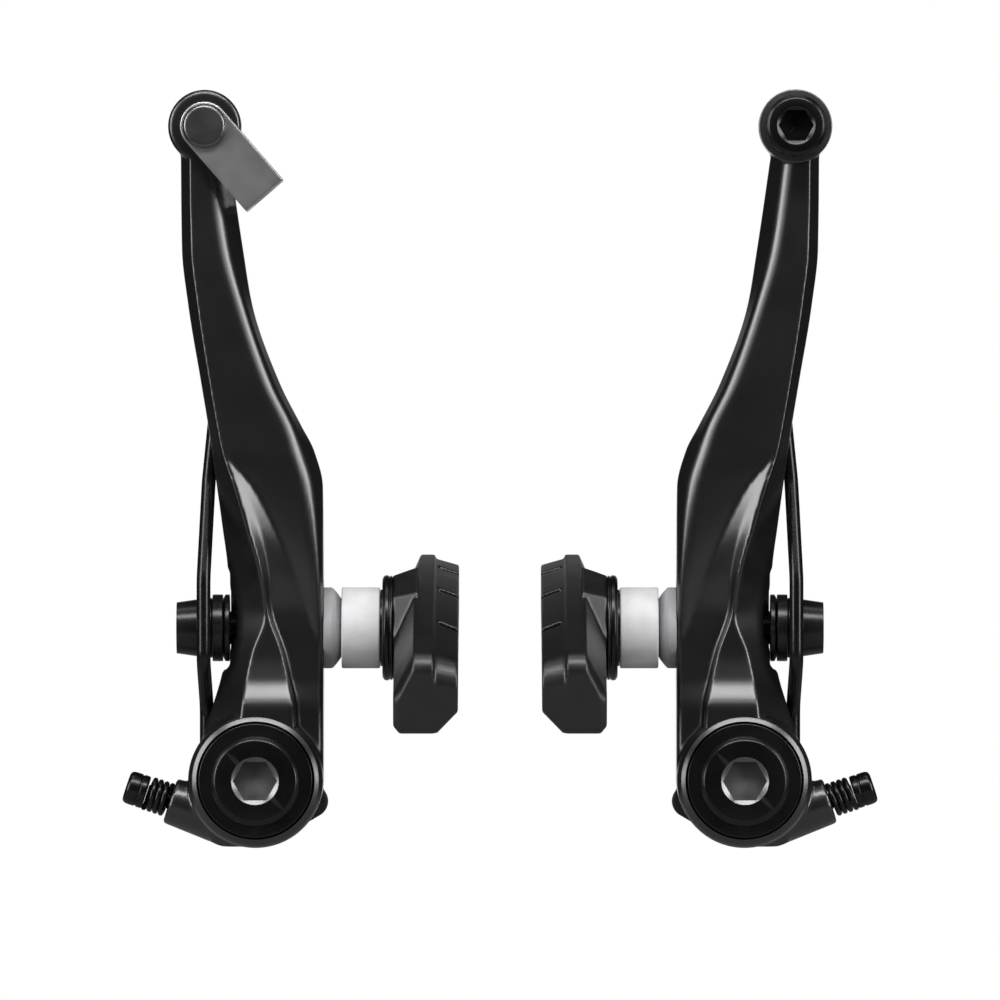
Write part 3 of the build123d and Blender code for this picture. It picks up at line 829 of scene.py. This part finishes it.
# %% arms
ARM_CELL = 0.3
ARM_ROUNDS = 4
LIP = rounded(
    [(16.9, RECESS_RADIUS), (18.06, RECESS_RADIUS, 0.08), (17.62, 10.38, 0.25),
     (17.2, 10.72, 0.3), (16.2, 11.04, 0.4), (13.5, 11.04)], 0.1, 6)
for name, side in SIDES:
    arm = shape(name + "_arm_forging", blade_mesh(), side)
    add_bosses(arm, side)
    cut_bores(arm, side)
    remesh(arm, ARM_CELL, ARM_ROUNDS)
    hand_over(arm, name + "_arm_body", black_arm, (name + "_arm",))
    part_of(name + "_arm_lip", turned(LIP, (0, 0, 0), FORWARD, 160, closed=True), side,
            name + "_arm_body", black_arm)
    print(arm.name, "faces", len(arm.data.polygons))

# %% [markdown]
# ## Hexagons and threads
# A hexagon is a ring whose radius grows towards its corners, and a thread is a ring whose radius
# follows a helix. Written as functions of the angle, both can be turned like any other ring. A
# boolean with a hexagon bar would do for the socket, but it leaves faces that need cleaning.

# %% hexagons and threads
STEPS_PER_TURN = 6
THREAD_DEPTH = 0.61


def hexagon(across_flats):
    """Radius of a hexagon as a function of the angle."""
    def reach(angle):
        return across_flats / 2 / math.cos(angle % (math.pi / 3) - math.pi / 6)
    return reach


def thread(radius, start, end, pitch, origin, along, segments=48):
    """Screw thread between two distances."""
    rings = []
    steps = max(int((end - start) / pitch * STEPS_PER_TURN), 2)
    for step in range(steps + 1):
        distance = start + (end - start) * step / steps

        def reach(angle, distance=distance):
            turn = (distance / pitch + angle / (2 * math.pi)) % 1.0
            return radius - THREAD_DEPTH * pitch * abs(2 * turn - 1)
        rings.append((distance, reach))
    return turned(rings, origin, along, segments)


print("a 6.3 mm hexagon reaches", round(hexagon(6.3)(0.0), 2), "mm at its corners")

# %% [markdown]
# ## Heads with a hexagon socket
# Both the mounting bolts and the cable's anchor bolt have a low round head with a flat crown, a
# wide edge bevel and a socket. The socket's mouth is a cone that the hexagon cuts. On the mounting
# bolts, mouth and floor catch the light in their own way, so each is a thin skin with a finish of
# its own, because one finish for each part keeps the hand-over simple.

# %% bolt heads and sockets
MOUTH_MARGIN = 0.24
MOUTH_SLOPE = 0.58


def mouth_radius(key):
    """Outer radius of a socket's bevelled mouth."""
    return key / 2 / math.cos(math.pi / 6) + MOUTH_MARGIN


def bolt_head(seat, radius, rise, crown, key, depth, x=0.0, z=0.0, edge=0.7):
    """Round head with a hexagon socket, seen from the front."""
    profile = rounded(
        [(0.0, radius - 0.25), (0.15, radius), (rise - edge, radius, 0.35),
         (rise - 0.16, radius - edge, 0.7), (rise, crown, 0.1)], 0.3, 5)
    mouth = mouth_radius(key)
    reach = hexagon(key)
    low = rise - depth
    rings = [(0.0, 0.05)] + profile + [(rise, mouth + 0.05), (rise - 0.02, mouth)]
    rings += [(lambda angle: rise - 0.02 - MOUTH_SLOPE * (mouth - reach(angle)), reach)]
    rings += [(low, reach), (low - 0.02, key * 0.42), (low - 0.25, key * 0.2), (low - 0.3, 0.05)]
    return turned(rings, (x, -seat, z), FORWARD, 96)


def socket_floor(seat, rise, key, depth):
    """Dull bottom of a socket, left rough by the punch."""
    low = rise - depth
    reach = hexagon(key - 0.02)
    rings = [(low - 0.1, 0.05), (low - 0.1, reach), (low + 0.05, reach),
             (low + 0.05, hexagon(key - 0.9)), (low + 0.09, hexagon(key - 1.1)), (low + 0.09, 0.05)]
    return turned(rings, (0, -seat, 0), FORWARD, 96)


def socket_mouth(seat, rise, key):
    """Bevel of a socket's mouth, rubbed bright by the key."""
    mouth = mouth_radius(key)
    reach = hexagon(key)
    inner = hexagon(key - 0.01)
    rings = [(rise, mouth + 0.05), (rise + 0.01, mouth),
             (lambda angle: rise - MOUTH_SLOPE * (mouth - reach(angle)), inner),
             (lambda angle: rise - 0.1 - MOUTH_SLOPE * (mouth - reach(angle)), inner),
             (rise - 0.1, mouth)]
    return turned(rings, (0, -seat, 0), FORWARD, 96, closed=True)


print("mouth of a 6.3 mm socket", round(2 * mouth_radius(6.3), 2), "mm across")

# %% [markdown]
# ## Mounting bolts and their washers
# The mounting bolt is what a mechanic sees first: it holds the whole arm on its boss. Its shank
# and thread sit inside and are kept plain. The broad washer under its head fills the recess in
# the barrel's front.

# %% mounting bolts and washers
WASHER_THICKNESS = 1.4
BOLT_SEAT = WASHER_REAR + WASHER_THICKNESS
BOLT_RISE = 3.1
BOLT_KEY = 6.3
BOLT_DEPTH = 2.9
M6_RADIUS = 3.0
for name, side in SIDES:
    head = bolt_head(BOLT_SEAT, radius=7.3, rise=BOLT_RISE, crown=4.1, key=BOLT_KEY, depth=BOLT_DEPTH)
    shank = turned([(0.0, M6_RADIUS), (5.0, M6_RADIUS), (5.2, M6_RADIUS - 0.1)],
                   (0, -BOLT_SEAT, 0), REARWARD, 48)
    threads = thread(M6_RADIUS, 5.0, 12.0, 1.0, (0, -BOLT_SEAT, 0), REARWARD)
    part_of(name + "_bolt", joined(head, shank, threads), side, "hub", black_bolt,
            (name + "_mounting_bolt",))
    part_of(name + "_bolt_socket", socket_floor(BOLT_SEAT, BOLT_RISE, BOLT_KEY, BOLT_DEPTH), side,
            "hub", socket_grey)
    part_of(name + "_bolt_mouth", socket_mouth(BOLT_SEAT, BOLT_RISE, BOLT_KEY), side,
            "hub", bare_edge)
    ring = turned(ring_profile(3.2, 9.35, WASHER_THICKNESS, 0.25), (0, -WASHER_REAR, 0), FORWARD,
                  96, closed=True)
    part_of(name + "_washer", ring, side, "hub", black_bolt,
            (name + "_bolt_washer",))
print("bolt heads stand", BOLT_SEAT + BOLT_RISE, "mm in front of the boss seat")

# %% [markdown]
# ## The pad's ball washers
# The pad can be toed in because it is clamped between two pairs of washers, one pair on each side
# of the arm. In each pair a domed washer sits in a hollow one, and all these faces are balls round
# one common centre. So the arcs are worked out from that centre, with a small air gap between dome
# and hollow, so that nothing cuts when the pad swivels.

# %% ball washers
POST = (0.0, -7.0, 24.9)
BALL_CENTRE = 6.0
ARM_INNER = 11.05
ARM_OUTER = -4.4
INNER_END = 20.3
OUTER_END = -7.2
WASHER_BORE = 3.2
INNER_OUTSIDE = 6.65


def ball(radius, way, start, end, steps=14):
    """Arc round the washers' common centre, as (distance, radius)."""
    result = []
    for step in range(steps + 1):
        height = start + (end - start) * step / steps
        result.append((BALL_CENTRE + way * math.sqrt(radius**2 - height**2), height))
    return result


INNER_DOMED = [(ARM_INNER, 3.55), (ARM_INNER, 6.5), (11.15, INNER_OUTSIDE), (12.3, INNER_OUTSIDE),
               (12.45, 6.6)] + ball(9.27, 1, 6.5, 4.2) + [(14.3, 3.7), (14.2, 3.55)]
INNER_HOLLOW = ball(9.57, 1, WASHER_BORE, 5.24) + rounded(
    [(14.0, 5.3), (14.0, INNER_OUTSIDE), (INNER_END, INNER_OUTSIDE), (INNER_END, WASHER_BORE)], 0.3)
OUTER_DOMED = [(ARM_OUTER, 3.75), (ARM_OUTER, 5.4), (-4.5, 5.5), (-5.0, 5.5)]
OUTER_DOMED += ball(12.4, -1, 5.45, 3.85)
OUTER_HOLLOW = ball(12.7, -1, WASHER_BORE, 5.4) + [(-5.6, 5.5), (-7.1, 5.5), (OUTER_END, 5.4),
                                                   (OUTER_END, WASHER_BORE)]
WASHERS = (
    ("_inner_domed_washer", INNER_DOMED, "_carriage", "grey_washer", "_inner_convex_washer"),
    ("_inner_hollow_washer", INNER_HOLLOW, "_seats", "satin_silver", "_inner_thick_washer"),
    ("_outer_domed_washer", OUTER_DOMED, "_carriage", "black_bolt", "_outer_convex_washer"),
    ("_outer_hollow_washer", OUTER_HOLLOW, "_seats", "black_bolt", "_outer_concave_washer"),
)
for name, side in SIDES:
    for end, rings, body, slot, node in WASHERS:
        part_of(name + end, turned(rings, POST, INWARD, 96, closed=True), side, name + body,
                BY_SLOT[slot], (name + node,))
print("ball washers", 2 * len(WASHERS))

# %% [markdown]
# ## Nut and post
# A threaded post runs from the pad through all four washers, and a round nut with a socket in its
# end pulls them together. The nut tapers outwards, and the post's flange shows as a thin stack of
# rings beside the pad. Both keep a little air to the washers that they press on, because two faces
# in the same plane flicker and count as touching.

# %% nuts and posts
NUT_SEAT = OUTER_END - 0.05
NUT_END = -13.1
NUT_KEY = 5.0
FLANGE_SEAT = INNER_END + 0.06
FLANGE_END = 22.35
NUT = rounded([(NUT_SEAT, 3.05), (NUT_SEAT, 4.95, 0.25), (-8.6, 4.86, 0.6), (NUT_END, 4.2, 0.5)], 0.3)
NUT += [(NUT_END, 3.3), (-13.0, 3.1), (-12.8, hexagon(NUT_KEY)), (-11.3, hexagon(NUT_KEY)),
        (-11.3, 3.05)]
FLANGE = [(FLANGE_SEAT, M6_RADIUS)] + rounded(
    [(FLANGE_SEAT, 6.3), (20.7, 6.3), (20.7, 8.1, 0.2), (21.05, 8.65, 0.5), (21.7, 8.65, 0.2),
     (21.85, 8.45, 0.1), (22.0, 8.5, 0.1), (FLANGE_END, 8.65, 0.2), (FLANGE_END, M6_RADIUS)], 0.1)
for name, side in SIDES:
    part_of(name + "_nut", turned(NUT, POST, INWARD, 96, closed=True), side, name + "_pad",
            black_bolt, (name + "_pad_nut",))
    flange = turned(FLANGE, POST, INWARD, 96)
    stem = thread(M6_RADIUS, -10.9, 20.4, 1.0, POST, INWARD)
    part_of(name + "_post", joined(flange, stem), side, name + "_pad", black_bolt,
            (name + "_pad_post",))
print("nut to flange", round(FLANGE_SEAT - NUT_SEAT, 2), "mm")

# %% [markdown]
# ## The pad's curve and outline
# The pad is one moulding that follows the rim: a gentle arc seen from the wheel, tilted a little
# on its post. A Curve modifier would bend a straight block, but here a formula sets each place,
# given across, along and up the pad, on the arc. A layer is an outline with four corner rounds.

# %% pad curve and outline
ARC = 300.0
TILT = math.radians(13.0)
ROUND_STEPS = 8
LONG_PARTS = 46
SHORT_PARTS = 5


def pad_place(points):
    """Places of points given across, along and up the pad, on the pad's arc."""
    result = []
    for x, along, up in points:
        angle = along / ARC
        y = (ARC + up) * math.sin(angle)
        z = (ARC + up) * math.cos(angle) - ARC
        result.append((x, POST[1] + y * math.cos(TILT) - z * math.sin(TILT),
                       POST[2] + y * math.sin(TILT) + z * math.cos(TILT)))
    return result


def pad_outline(near, far, low, high, rounds):
    """Rounded outline of one layer, as places along and up the pad."""
    far_high, near_high, near_low, far_low = rounds
    centres = ((far - far_high, high - far_high, far_high),
               (near_high - near, high - near_high, near_high),
               (near_low - near, low + near_low, near_low),
               (far - far_low, low + far_low, far_low))
    arcs = []
    for index, (along, up, radius) in enumerate(centres):
        turns = [math.radians(90 * index + 90 * step / ROUND_STEPS) for step in range(ROUND_STEPS + 1)]
        arcs.append([(along + radius * math.cos(turn), up + radius * math.sin(turn)) for turn in turns])
    line = []
    for index, arc in enumerate(arcs):
        start, end = arc[-1], arcs[(index + 1) % 4][0]
        parts = SHORT_PARTS if index % 2 else LONG_PARTS
        line += arc
        for t in range(1, parts):
            line.append((start[0] + (end[0] - start[0]) * t / parts,
                         start[1] + (end[1] - start[1]) * t / parts))
    return line


print("points in a pad outline", len(pad_outline(38.4, 31.5, -6.75, 6.75, (1.8, 3.0, 1.8, 1.8))))

# %% [markdown]
# ## The moulded pads
# The near end of the pad shows its layers: a sloping back, a straight band and the friction block,
# which narrows towards the rim. An eight-sided mound rises round the post, and three slanted
# grooves let water out. The solids are joined, the grooves are cut, and the mesh is evened like the
# arm's.

# %% pad layers
THIN_FROM = 6.0
THIN_OVER = 27.0
ROUNDS = (1.8, 3.0, 1.8, 1.8)
BACK_ROUNDS = (1.4, 1.4, 1.4, 1.4)
# Each layer: x, how much thinner the far end is, near, far, low, high, corner rounds.
BACKING = (
    (22.7, 1.2, 37.9, 31.0, -5.5, 0.1, BACK_ROUNDS),
    (23.7, 1.2, 38.4, 31.5, -6.75, 2.1, ROUNDS),
    (26.0, 1.0, 38.4, 31.5, -6.75, 6.75, ROUNDS),
    (29.25, 0.0, 38.4, 31.5, -6.75, 6.75, ROUNDS),
)
FRICTION = (
    (29.1, 0.0, 38.3, 31.4, -6.7, 6.15, (1.8, 4.6, 1.8, 1.8)),
    (29.8, 0.0, 38.3, 31.4, -6.7, 5.95, (1.8, 4.6, 1.8, 1.8)),
    (33.2, 0.0, 38.1, 31.2, -3.05, 5.0, (1.8, 4.2, 1.8, 1.8)),
)


def pad_block(layers):
    """Curved block through layers."""
    points = []
    for x, thinning, near, far, low, high, rounds in layers:
        for along, up in pad_outline(near, far, low, high, rounds):
            share = min(max((along - THIN_FROM) / THIN_OVER, 0), 1)
            points.append((x + thinning * share, along, up))
    return pad_place(points), skin(len(layers), len(points) // len(layers))


print("pad block faces", len(pad_block(BACKING)[1]))

# %% pads
PAD_CELL = 0.26
PAD_ROUNDS = 2
MOUND = ((22.35, 8.7), (26.6, 10.2))
MOUND_TURN = 9.5
GROOVES = (-18.9, 1.8, 20.5)
GROOVE_FLOOR = 29.8
GROOVE_SLANT = 0.4


def mound():
    """Eight-sided mound round the post."""
    loops = []
    for x, radius in MOUND:
        turns = [math.radians(MOUND_TURN + 45 * step) for step in range(8)]
        loops.append([(x, POST[1] + radius * math.cos(turn), POST[2] + radius * math.sin(turn))
                      for turn in turns])
    return prism(*loops)


def groove(along):
    """Slanted slab that cuts one groove."""
    points, faces = box_mesh((GROOVE_FLOOR, along - 1.0, -12.0), (35.0, along + 1.0, 12.0))
    slanted = [(x, a + 0.8 - GROOVE_SLANT * (x - GROOVE_FLOOR), up) for x, a, up in points]
    return pad_place(slanted), faces


for name, side in SIDES:
    pad = shape(name + "_pad_moulding", pad_block(BACKING), side)
    join_on(pad, pad_block(FRICTION), side)
    join_on(pad, mound(), side)
    for along in GROOVES:
        carve(pad, groove(along), side)
    remesh(pad, PAD_CELL, PAD_ROUNDS)
    hand_over(pad, name + "_pad", pad_compound, (name + "_brake_pad",))
    print(pad.name, "faces", len(pad.data.polygons))

# %% [markdown]
# ## Round wire
# Springs are wire, and wire is a circle swept along a line. A curve object with a bevel would be
# shorter to write, but here the wire is made as a mesh. The circle is carried along the line
# without twisting it.

# %% wire along a line
WIRE_ANGLE = 60.0


def tube(spots, radius, segments):
    """Points and faces of a round wire along a line of points."""
    tangents = []
    for index in range(len(spots)):
        ahead = spots[min(index + 1, len(spots) - 1)]
        behind = spots[max(index - 1, 0)]
        tangents.append((ahead - behind).normalized())
    normal = tangents[0].orthogonal().normalized()
    points = []
    for spot, tangent in zip(spots, tangents):
        normal = (normal - tangent * normal.dot(tangent)).normalized()
        other = tangent.cross(normal)
        for step in range(segments):
            angle = 2 * math.pi * step / segments
            points.append(tuple(spot + (normal * math.cos(angle) + other * math.sin(angle)) * radius))
    return points, skin(len(spots), segments)


def bent_line(corners, radii, steps=10):
    """Line through corners with rounded bends."""
    spots = [Vector(corner) for corner in corners]
    result = [spots[0]]
    for before, here, after, radius in zip(spots, spots[1:], spots[2:], radii):
        back, forth = before - here, after - here
        trim = radius / math.tan(back.angle(forth) / 2)
        trim = min(trim, back.length * 0.48, forth.length * 0.48)
        first, last = here + back.normalized() * trim, here + forth.normalized() * trim
        result += corner_curve(first, here, last, steps)
    result.append(spots[-1])
    return result


def bend(obj, first, second, start, end, node):
    """Gives a wire its black finish, bakes its place and hides the node that it stands for."""
    obj.data.materials.append(black_wire)
    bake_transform(obj)
    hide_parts(node)


print("wire helpers ready")

# %% [markdown]
# ## Return springs
# Each arm is pushed off the rim by one long wire. Its tail is caught in the stopper plate, its
# coil goes round the hub, and its leg runs up behind the arm, forwards past the pad's nut and
# into a hole in the blade. The tail stays with the hub while the leg swings with the arm.

# %% return springs
COIL_RADIUS = 8.15
COIL_REAR = -3.3
COIL_FRONT = -7.6
COIL_TURNS = 1.75
COIL_STEPS = 126
WIRE_RADIUS = 1.15
coil = []
for step in range(COIL_STEPS + 1):
    share = step / COIL_STEPS
    angle = math.pi / 2 - 2 * math.pi * COIL_TURNS * share
    coil.append(Vector((COIL_RADIUS * math.cos(angle), COIL_REAR + (COIL_FRONT - COIL_REAR) * share,
                        COIL_RADIUS * math.sin(angle))))
tail = bent_line([(0, COIL_REAR, COIL_RADIUS), (-1.9, -3.2, COIL_RADIUS), (-1.9, -0.3, COIL_RADIUS)],
                 (1.3,))
leg = bent_line(
    [(-COIL_RADIUS, COIL_FRONT, 0), (-COIL_RADIUS, -8.17, 12.0), (-8.55, -14.4, 19.5),
     (-8.55, -14.4, 33.0), (-7.8, -9.2, 49.0), (WIRE_HOLE[0], -9.2, WIRE_HOLE[1]),
     (WIRE_HOLE[0], -13.6, WIRE_HOLE[1])], (5.0, 5.0, 8.0, 6.0, 1.6))
wire_line = list(reversed(tail))[:-1] + coil + leg[1:]
for name, side in SIDES:
    wire = shape(name + "_spring_wire", tube(wire_line, WIRE_RADIUS, 24), side, WIRE_ANGLE)
    pivot = side * HALF_SPACING
    bend(wire, "hub", name + "_arm_body", (pivot, COIL_REAR, 0), (pivot, COIL_FRONT, 0),
         name + "_return_spring")
print("points along the return spring", len(wire_line))

# %% [markdown]
# ## Adjuster screws
# A small screw in the lug presses on the return spring's leg and evens the two sides out. Its head
# is domed, with a groove turned round it and a slot cut across its end. The thread ends just short
# of the head, because two shells that overlap would confuse the boolean.

# %% adjuster screws
M3_RADIUS = 1.5
HEAD_UNDER = 16.5
HEAD_TOP = 19.95
HEAD_WIDTH = 2.75
SCREW_HEAD = [(HEAD_UNDER, 0.3)] + rounded(
    [(HEAD_UNDER, 1.4), (HEAD_UNDER, HEAD_WIDTH, 0.35), (17.5, HEAD_WIDTH, 0.2), (17.6, 2.6, 0.1),
     (17.8, 2.6, 0.1), (17.9, HEAD_WIDTH, 0.2), (HEAD_TOP, HEAD_WIDTH, 1.1), (HEAD_TOP, 0.3)], 0.2, 6)
lug_start, lug_across, lug_other, lug_along = frame_at(LUG_FOOT, LUG_WAY)
slot_box, slot_faces = box_mesh((19.0, -4.0, -0.45), (21.0, 4.0, 0.45))
screw_slot = [tuple(lug_start + lug_along * x + lug_across * y + lug_other * z)
              for x, y, z in slot_box]
for name, side in SIDES:
    head = turned(SCREW_HEAD, LUG_FOOT, LUG_WAY, 64)
    shank = thread(M3_RADIUS, 8.5, HEAD_UNDER - 0.1, 0.5, LUG_FOOT, LUG_WAY, 36)
    screw = part_of(name + "_screw", joined(head, shank), side, name + "_adjuster",
                    black_bolt, (name + "_adjuster_screw",))
    carve(screw, (screw_slot, slot_faces), side)
    shade(screw, SHARP_ANGLE)
    print(screw.name, "faces", len(screw.data.polygons))

# %% [markdown]
# ## Adjuster springs
# A short spring under the screw's head keeps it from turning by itself, and it is squeezed as the
# screw goes in. Its coils wind the same way on both sides, as bought springs do, so the mirrored
# side turns the other way here.

# %% adjuster springs
SMALL_TURNS = 3.5
SMALL_STEPS = 36
SMALL_FOOT = 12.75
SMALL_LENGTH = 3.4
SMALL_RADIUS = 2.45
SMALL_WIRE = 0.45
for name, side in SIDES:
    hand = -side
    line = []
    steps = int(SMALL_TURNS * SMALL_STEPS)
    for step in range(steps + 1):
        share = step / steps
        angle = hand * 2 * math.pi * SMALL_TURNS * share
        spot = lug_start + lug_along * (SMALL_FOOT + SMALL_LENGTH * share)
        around = lug_across * math.cos(angle) + lug_other * math.sin(angle)
        line.append(spot + around * SMALL_RADIUS)
    small = shape(name + "_small_spring", tube(line, SMALL_WIRE, 14), side, WIRE_ANGLE)
    ends = [(side * (HALF_SPACING - spot.x), spot.y, spot.z)
            for spot in (LUG_FOOT + LUG_WAY * 12.6, LUG_FOOT + LUG_WAY * 16.3)]
    bend(small, name + "_arm_body", name + "_adjuster", *ends, name + "_adjuster_spring")
print("small springs of", SMALL_TURNS, "turns")

# %% [markdown]
# ## Pivot sleeves
# The arm turns on a plain steel sleeve that the mounting bolt clamps. It only shows from behind,
# so a turned ring is all that it needs.

# %% sleeves
SLEEVE_LENGTH = 11.0
for name, side in SIDES:
    ring = turned(ring_profile(4.3, 5.5, SLEEVE_LENGTH, 0.2), (0, -WASHER_REAR, 0), REARWARD, 96,
                  closed=True)
    part_of(name + "_sleeve", ring, side, "hub", dark_steel, (name + "_pivot_sleeve",))
print("sleeve length", SLEEVE_LENGTH, "mm")

# %% [markdown]
# ## Spring stoppers
# Behind each arm sits a moulded plate. A pin on its back goes into one of the boss's spring holes,
# a hub in its middle sits on the boss, and an ear carries the pin. It peeps out beside the barrel.
# It is joined from bars and one flat web, drilled, and evened with small cells like the pad,
# since it came out of a mould.

# %% stopper plates
PLATE_RADIUS = 10.8
PLATE_FRONT = 2.0
EAR = (9.0, -3.7)
EAR_WEB = ((2.0, -10.6), (7.6, -7.65), (10.3, -6.05), (11.6, -4.2), (10.1, 1.5), (3.0, 3.0))
PLATE_CELL = 0.24
for name, side in SIDES:
    plate = shape(name + "_stopper", bar_y(PLATE_RADIUS, PLATE_FRONT, 0.0), side)
    join_on(plate, bar_y(2.7, PLATE_FRONT, 0.0, *EAR, segments=48), side)
    join_on(plate, bar_y(5.5, 6.0, 0.0), side)
    join_on(plate, bar_y(1.4, PLATE_FRONT, -3.5, *EAR, segments=48), side)
    join_on(plate, plate_y(EAR_WEB, PLATE_FRONT, 0.0), side)
    carve(plate, bar_y(4.1, 8.0, -2.0), side)
    carve(plate, bar_y(1.5, 3.0, -1.0, -1.9, COIL_RADIUS, 32), side)
    remesh(plate, PLATE_CELL, 2)
    hand_over(plate, "hub", dark_plastic, (name + "_spring_stopper",))
    print(plate.name, "faces", len(plate.data.polygons))

# %% [markdown]
# ## The link
# On the left arm's head hangs the link, folded from sheet metal, that holds the end of the
# cable's guide tube. It has two cheeks, an end wall with a keyhole, and a hole for its pin. It is
# cut from a block, which is quicker than folding and looks the same. The block is drawn upright
# and then leant over to where it hangs at rest.

# %% link geometry
LINK_LEAN = math.radians(41.0)
LINK_MIDDLE = 15.0
HALF_WIDTH = 5.3


def on_link(points):
    """Places given across, along and through the link, from its pin."""
    result = []
    for x, y, z in points:
        across = x * math.cos(LINK_LEAN) - y * math.sin(LINK_LEAN)
        along = x * math.sin(LINK_LEAN) + y * math.cos(LINK_LEAN)
        result.append((HEAD[0] + across, -LINK_MIDDLE - z, HEAD[1] + along))
    return result


def link_box(low, high):
    """Box in the link's own measure."""
    points, faces = box_mesh(low, high)
    return on_link(points), faces


def link_round(radius, half_length):
    """Round bar through the link at its pin."""
    return bar_y(radius, LINK_MIDDLE + half_length, LINK_MIDDLE - half_length, *HEAD, segments=64)


print("link leans", round(math.degrees(LINK_LEAN)), "degrees at rest")

# %% link
LEFT = -1
link = shape("cable_link", link_box((-4.0, -15.0, -HALF_WIDTH), (4.0, 0.0, HALF_WIDTH)), LEFT)
join_on(link, link_round(4.0, HALF_WIDTH), LEFT)
carve(link, link_box((-4.5, -13.5, -3.8), (4.5, 8.0, 3.8)), LEFT)
carve(link, link_round(2.55, 6.0), LEFT)
carve(link, link_box((0.0, -17.0, -1.15), (4.5, -12.0, 1.15)), LEFT)
hole, hole_faces = turned([(0.0, 2.3), (5.0, 2.3)], (0, -17.0, 0), REARWARD, 48)
carve(link, (on_link(hole), hole_faces), LEFT)
remesh(link, 0.2, 2)
hand_over(link, "link_body", link_metal, ("link",))
print(link.name, "faces", len(link.data.polygons))

# %% [markdown]
# ## The link's rivet
# A rivet with two low heads holds the link to the arm's head and lets it swing. It is turned in
# one go, from one head over the shank to the other.

# %% rivet
RIVET = rounded([(0.0, 0.05), (0.0, 3.4, 0.9), (1.2, 3.7, 0.2), (1.2, 2.5)], 0.3, 5)
RIVET += [(11.8, 2.5)]
RIVET += rounded([(11.8, 2.5), (11.8, 3.7, 0.2), (13.0, 3.4, 0.9), (13.0, 0.05)], 0.3, 5)[1:]
part_of("link_rivet", turned(RIVET, (HEAD[0], -21.5, HEAD[1]), REARWARD, 64), LEFT,
        "left_arm_body", dark_steel, ("link_pin",))
print("rivet", RIVET[-1][0], "mm long")

# %% [markdown]
# ## The cable's anchor
# On the right arm's head a bolt clamps the cable under a thick washer. It is a smaller sister of
# the mounting bolt, so the same function makes its head.

# %% anchor bolt and washer
RIGHT = 1
ANCHOR_SEAT = 19.7
ANCHOR_RISE = 5.0
anchor = bolt_head(ANCHOR_SEAT, radius=5.0, rise=ANCHOR_RISE, crown=3.6, key=5.0, depth=2.5,
                   x=HEAD[0], z=HEAD[1], edge=0.6)
stem = thread(M6_RADIUS, 0.0, 8.2, 1.0, (HEAD[0], -ANCHOR_SEAT, HEAD[1]), REARWARD)
part_of("anchor_screw", joined(anchor, stem), RIGHT, "right_arm_body", black_bolt,
        ("anchor_bolt",))
ring = turned(ring_profile(3.2, 6.0, ANCHOR_SEAT - HEAD_FRONT, 0.2),
              (HEAD[0], -HEAD_FRONT, HEAD[1]), FORWARD, 96, closed=True)
part_of("anchor_plate", ring, RIGHT, "right_arm_body", dark_steel,
        ("anchor_washer",))
print("anchor bolt head", ANCHOR_SEAT, "to", ANCHOR_SEAT + ANCHOR_RISE, "mm in front")
